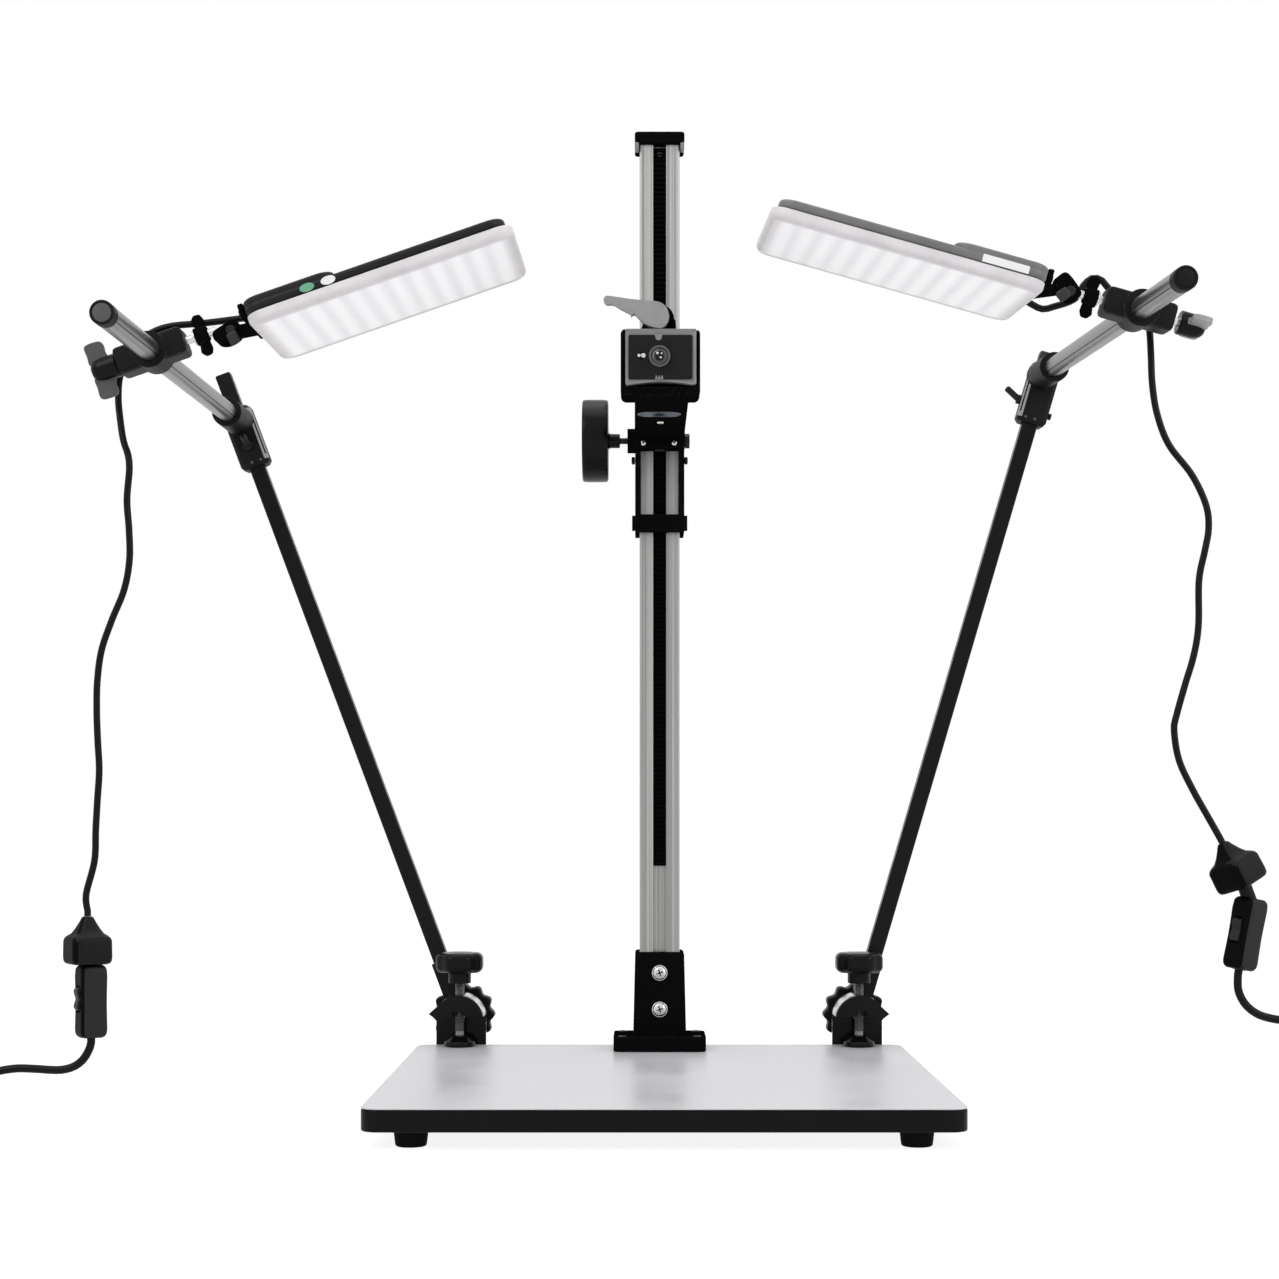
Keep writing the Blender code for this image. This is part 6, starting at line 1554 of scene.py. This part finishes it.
    def wing_nut(self, bracket: Shape) -> None:
        """The wing nut on the lamp's stud."""
        inward = -self.side
        near, far = self.nut_start, self.nut_start + 0.01
        bracket.rod(*sided(inward, [(near, 0, 0), (far, 0, 0)]), 0.0065, 0.0052, 0.0008, 32)
        washer = sided(inward, [(near + reach, 0, 0) for reach in (-0.0012, 0.0004)])
        bracket.rod(*washer, 0.0054, steps=32, finish=BRIGHT_STEEL)
        wing = ((near + 0.002, 0.004), (far - 0.001, 0.004), (far - 0.0004, 0.0105), (far - 0.002, 0.0145))
        wing += ((near + 0.0035, 0.015), (near + 0.0006, 0.012))
        for way in SIDES:
            bracket.plate([(inward * x, way * z) for x, z in wing], -0.0025, 0.0025, 0.0012, 3, place=UPRIGHT)

    @staticmethod
    def knuckle(bracket: Shape, block: Matrix) -> None:
        """The knuckle: a block between two cheeks, with its bolt and its small tab."""
        cheek = [(-0.0095, -0.003), (-0.003, -0.0068), (0.006, -0.0062), (0.0105, -0.001), (0.009, 0.0048)]
        outline = flowing([*cheek, (0, 0.0056), (-0.009, 0.004)])
        for y in (-0.0085, 0.0045):
            bracket.plate(outline, -y - 0.004, -y, 0.0008, 3, place=block @ UPRIGHT)
        bracket.block((-0.0085, -0.005, -0.0032), (0.009, 0.005, 0.0036), 0.0012, 3, place=block)
        bolt = block @ at(0.0035, 0, -0.0012)
        bracket.rod((0, -0.0115, 0), (0, 0.0105, 0), 0.0034, None, 0.0006, 24, DARK_STEEL, bolt)
        bracket.block((-0.0048, -0.0125, -0.0105), (0.003, -0.009, -0.0015), 0.0014, 3, HINGE_GREY, bolt)

    def lamp_shell(self) -> None:
        """The lamp's shell with its hump, its cord gland, its screws and its bare stickers."""
        inward = -self.side
        shell = Shape(self.tag("lamp_shell"), self.shell, self.panel())
        start, shift, length, corner = self.lamp_start, self.lamp_shift, self.shell_length, self.lamp_corner
        bottom, top = self.shell_z
        place = at(inward * (start + length / 2), shift, 0)
        shell.plate(rounded(length, self.lamp_depth, corner, 10), bottom, top, 0.0024, 4, place=place)
        hump = at(inward * (start + 0.033), shift, 0)
        shell.plate(rounded(0.066, 0.136, corner, 10), -0.01, self.hump_top, 0.0022, 4, place=hump)
        mouth, aim = self.gland_line()
        shell.rod(mouth - aim * 0.006, mouth, 0.0042, 0.0036, 0.0004, 32)
        shell.rod(mouth - aim * 0.0045, mouth - aim * 0.003, 0.0047, bevel=0.0004, steps=32)
        _, y, z = self.gland
        if z > self.hump_top:
            neck = [(start + 0.001, y - 0.006, -0.01), (start + 0.013, y + 0.006, z + 0.005)]
            shell.block(*sided(inward, neck), 0.0012, 3)
        for along, face in ((0.009, self.hump_top), (0.1785, top)):
            for across in (-0.0595, 0.0595):
                spot = at(inward * (start + along), shift + across, face - 0.0002)
                shell.screw(spot, 0.0024, 0.0009, DARK_STEEL)
        self.stickers(shell)
        shell.done(self.tag("lamp"), self.tag("lamp_housing"))

    def stickers(self, shell: Shape) -> None:
        """The bare stickers on the front edge of the shell."""
        face = at(0, self.lamp_shift - self.lamp_depth / 2, 0) @ UPRIGHT
        angles = [math.tau * n / 32 for n in range(32)]
        oval = [(0.0052 * math.cos(angle), 0.0029 * math.sin(angle)) for angle in angles]
        label = rounded(0.0325, 0.0052, 0.0005)
        left = ((oval, GREEN_STICKER, 0.1251, -0.01), (oval, WHITE_STICKER, 0.1403, -0.01))
        right = ((label, WHITE_STICKER, -0.1086, -0.0099),)
        for outline, finish, x, z in left if self.side < 0 else right:
            shell.plate(outline, -0.0003, 0.0001, 0.0, 1, finish, face @ at(x, z, 0))

    def tray(self) -> None:
        """The frosted tray, whose UV map holds the LED rows."""
        inward = -self.side
        length, depth, corner = self.tray_length, self.lamp_depth, self.lamp_corner
        tray = Shape(self.tag("frosted_tray"), FROSTED, self.panel())
        top, edge, bend = self.tray_z
        rings = [(top, length - 0.001, depth - 0.001, corner - 0.0005), (edge, length, depth, corner)]
        for angle in (math.radians(degrees) for degrees in range(0, 91, 18)):
            inset, drop = self.tray_bend * (1 - math.cos(angle)), self.tray_bend * math.sin(angle)
            rings.append((bend - drop, length - 2 * inset, depth - 2 * inset, corner - inset))
        tray.loft(rings, at(inward * (self.lamp_start + length / 2), self.lamp_shift, 0))
        data = tray.done(self.tag("lamp"), self.tag("lamp_diffuser")).data
        back = self.panel().inverted()
        uv = data.uv_layers.new(name="led_rows")
        for loop in data.loops:
            point = back @ data.vertices[loop.vertex_index].co
            across = (inward * point.x - self.lamp_start - self.led_start[0]) / self.led_pitch[0]
            along = (point.y - self.lamp_shift - self.led_start[1]) / self.led_pitch[1]
            uv.data[loop.index].uv = (across, along)


LEFT = LightStand(
    name="left",
    side=-1,
    lean=20.46,
    elbow_at=0.5378,
    rod_inset=-0.0006,
    splay=1.27,
    droop=0.69,
    clamp_at=0.2925,
    lamp_tilt=18.8,
    lamp_roll=0.0,
    lamp_start=0.0787,
    lamp_shift=0.0005,
    wing_turn=0.0,
    wing_gap=GAP,
    nut_start=0.0325,
    bracket_at=(0.0555, -0.0052),
    bracket_turn=10.0,
    gland=(0.0745, 0.017, 0.0045),
    gland_rise=0.28,
    cord_route=(
        (-0.3276, 0.5479), (-0.3548, 0.5457, 0.002), (-0.3712, 0.5396, 0.005), (-0.3821, 0.5285, 0.007),
        (-0.3907, 0.512, 0.0075), (-0.3921, 0.4955, 0.007), (-0.3903, 0.4797, 0.005),
        (-0.3874, 0.4639, 0.0025), (-0.3837, 0.4532, 0.001), (-0.3826, 0.4424), (-0.3843, 0.4209),
        (-0.3828, 0.3994), (-0.3825, 0.3778), (-0.3864, 0.3563), (-0.3951, 0.3348), (-0.4025, 0.3132),
        (-0.4055, 0.2917), (-0.406, 0.2702), (-0.4053, 0.2487), (-0.4042, 0.2271), (-0.4055, 0.2056),
        (-0.4067, 0.1841), (-0.4075, 0.1625), (-0.413, 0.141), (-0.4138, 0.1335),
    ),  # fmt: skip
    plug_top=(-0.4125, 0.0, 0.122),
    plug_tilt=0.0,
    switch_top=(-0.41, 0.0, 0.0872),
    switch_tilt=0.0,
    lead_route=(
        (-0.4115, 0.0265), (-0.4157, 0.0195), (-0.4222, 0.0145), (-0.4305, 0.0121), (-0.4395, 0.012),
        (-0.45, 0.0127), (-0.466, 0.0128), (-0.485, 0.0085), (-0.503, -0.002), (-0.518, -0.014),
        (-0.532, -0.0208, -0.001),
    ),  # fmt: skip
    shell=SHELL_BLACK,
)

RIGHT = LightStand(
    name="right",
    side=1,
    lean=16.34,
    elbow_at=0.5641,
    rod_inset=0.002,
    splay=1.86,
    droop=2.78,
    clamp_at=0.3065,
    lamp_tilt=15.05,
    lamp_roll=0.8,
    lamp_start=0.0781,
    lamp_shift=-0.006,
    wing_turn=82.0,
    wing_gap=0.0045,
    nut_start=0.03,
    bracket_at=(0.0528, 0.0017),
    bracket_turn=40.0,
    gland=(0.0761, 0.031, -0.0078),
    gland_rise=-0.12,
    cord_route=(
        (0.2722, 0.5579), (0.2823, 0.5601), (0.2916, 0.563), (0.2975, 0.5668), (0.3018, 0.5745),
        (0.308, 0.58), (0.3146, 0.5788), (0.3196, 0.573), (0.3256, 0.5672), (0.3335, 0.5632),
        (0.341, 0.5603), (0.3465, 0.5535), (0.3493, 0.5428), (0.3504, 0.5249), (0.3514, 0.5034),
        (0.355, 0.4819), (0.3633, 0.4604), (0.3798, 0.4388), (0.3899, 0.4173), (0.3918, 0.4008),
        (0.3892, 0.385), (0.3849, 0.3635), (0.3845, 0.3312), (0.3812, 0.3097), (0.3748, 0.2881),
        (0.3688, 0.2666), (0.367, 0.2558), (0.3705, 0.2343), (0.3805, 0.2128), (0.3915, 0.1932),
    ),  # fmt: skip
    plug_top=(0.4017, 0.0, 0.1748),
    plug_tilt=-27.0,
    switch_top=(0.4227, 0.0, 0.1352),
    switch_tilt=10.2,
    lead_route=(
        (0.4132, 0.0687), (0.4184, 0.0587), (0.4273, 0.0518), (0.4385, 0.0485), (0.452, 0.0465),
        (0.468, 0.0405), (0.484, 0.028), (0.5, 0.009), (0.516, -0.011), (0.531, -0.0205, -0.001),
    ),  # fmt: skip
    # The right shell's grey is painted sheen.
    shell=SHELL_SHEEN_GREY,
)


@dataclass
class Studio:
    """The pale floor, the white surroundings, the soft lights and the camera."""

    picture: int = 1279
    focal: float = 2254.0
    vanishing: Pair = (640.0, 807.0)
    camera_at: Point = (-0.0162, -1.7012, 0.2006)
    ambient: float = 0.55
    floor_white: float = 0.9
    floor_glow: float = 1.2
    floor_share: float = 0.74

    def camera(self) -> None:
        """The camera at the photograph's place and angle."""
        made = bpy.data.cameras.new("studio_camera")
        made.sensor_width = 36.0
        made.lens = 36.0 * self.focal / self.picture
        made.shift_x = (self.picture / 2 - self.vanishing[0]) / self.picture
        made.shift_y = (self.vanishing[1] - self.picture / 2) / self.picture
        made.clip_start = 0.01
        camera = placed("studio_camera", made)
        camera.location = self.camera_at
        camera.rotation_euler = (math.radians(90), 0.0, 0.0)
        bpy.context.scene.camera = camera

    @staticmethod
    def seen(wires: Wires) -> Socket:
        """1 for rays that show the surroundings, from the camera or by a reflection."""
        path = wires.add("LightPath").outputs
        shown = wires.maths("MAXIMUM", path["Is Camera Ray"], path["Is Glossy Ray"])
        return wires.maths("MAXIMUM", shown, path["Is Transmission Ray"])

    def surroundings(self) -> None:
        """A world that looks white and lights the object softly."""
        world = bpy.data.worlds.new("white_room")
        world.use_nodes = True
        bpy.context.scene.world = world
        wires = Wires(world.node_tree)
        light, output = (world.node_tree.nodes[name] for name in ("Background", "World Output"))
        wires.fill(light, {"Color": (1.0, 1.0, 1.0), "Strength": self.ambient})
        white = wires.fill(wires.add("Background"), {"Color": (1.0, 1.0, 1.0), "Strength": 1.0})
        wires.blend(self.seen(wires), light, white, output)

    def floor(self) -> None:
        """A pale floor, which keeps the object's shadow."""
        bm = bmesh.new()
        bmesh.ops.create_grid(bm, x_segments=1, y_segments=1, size=6.0, matrix=at(0, 0, GROUND_Z))
        mesh = bpy.data.meshes.new("floor")
        bm.to_mesh(mesh)
        bm.free()
        material = bpy.data.materials.new("floor_white")
        material.use_nodes = True
        wires = Wires(material.node_tree)
        surface, output = (material.node_tree.nodes[name] for name in ("Principled BSDF", "Material Output"))
        values = {"Base Color": (self.floor_white,) * 3, "Roughness": 1.0, "Specular IOR Level": 0.0}
        wires.fill(surface, values)
        glow = wires.fill(wires.add("Emission"), {"Strength": self.floor_glow})
        wires.blend(wires.product(self.seen(wires), self.floor_share), surface, glow, output)
        mesh.materials.append(material)
        placed("floor", mesh)

    @staticmethod
    def lights() -> None:
        """Three large soft lights."""
        target = Vector((0.0, 0.0, 0.3))
        for name, place, size, power in (
            ("key", (-1.6, -1.5, 1.9), 1.6, 26.0),
            ("fill", (1.8, -1.3, 1.3), 1.6, 20.0),
            ("top", (0.0, 0.2, 2.3), 1.8, 16.0),
        ):
            made = bpy.data.lights.new(name, "AREA")
            made.shape = "DISK"
            made.size = size
            made.energy = power
            light = placed(name, made)
            light.location = place
            light.rotation_euler = (target - Vector(place)).to_track_quat("-Z", "Y").to_euler()

    def build(self) -> None:
        """Set up the studio."""
        bpy.context.scene.view_settings.view_transform = "Standard"
        self.camera()
        self.surroundings()
        self.floor()
        self.lights()


def plain(box: tuple[Vector, Vector]) -> list[list[float]]:
    """A box as plain lists of numbers."""
    return [[float(part) for part in corner] for corner in box]


def main() -> None:
    """Build the whole scene."""
    logging.basicConfig(level=logging.INFO, format="%(message)s")
    Studio().build()
    for stand in (LEFT, RIGHT):
        stand.build_cords()
    Board().build()
    Column().build()
    Carriage().build()
    QuickRelease().build()
    for stand in (LEFT, RIGHT):
        stand.build()
    bpy.context.view_layer.update()


if __name__ == "__main__":
    main()
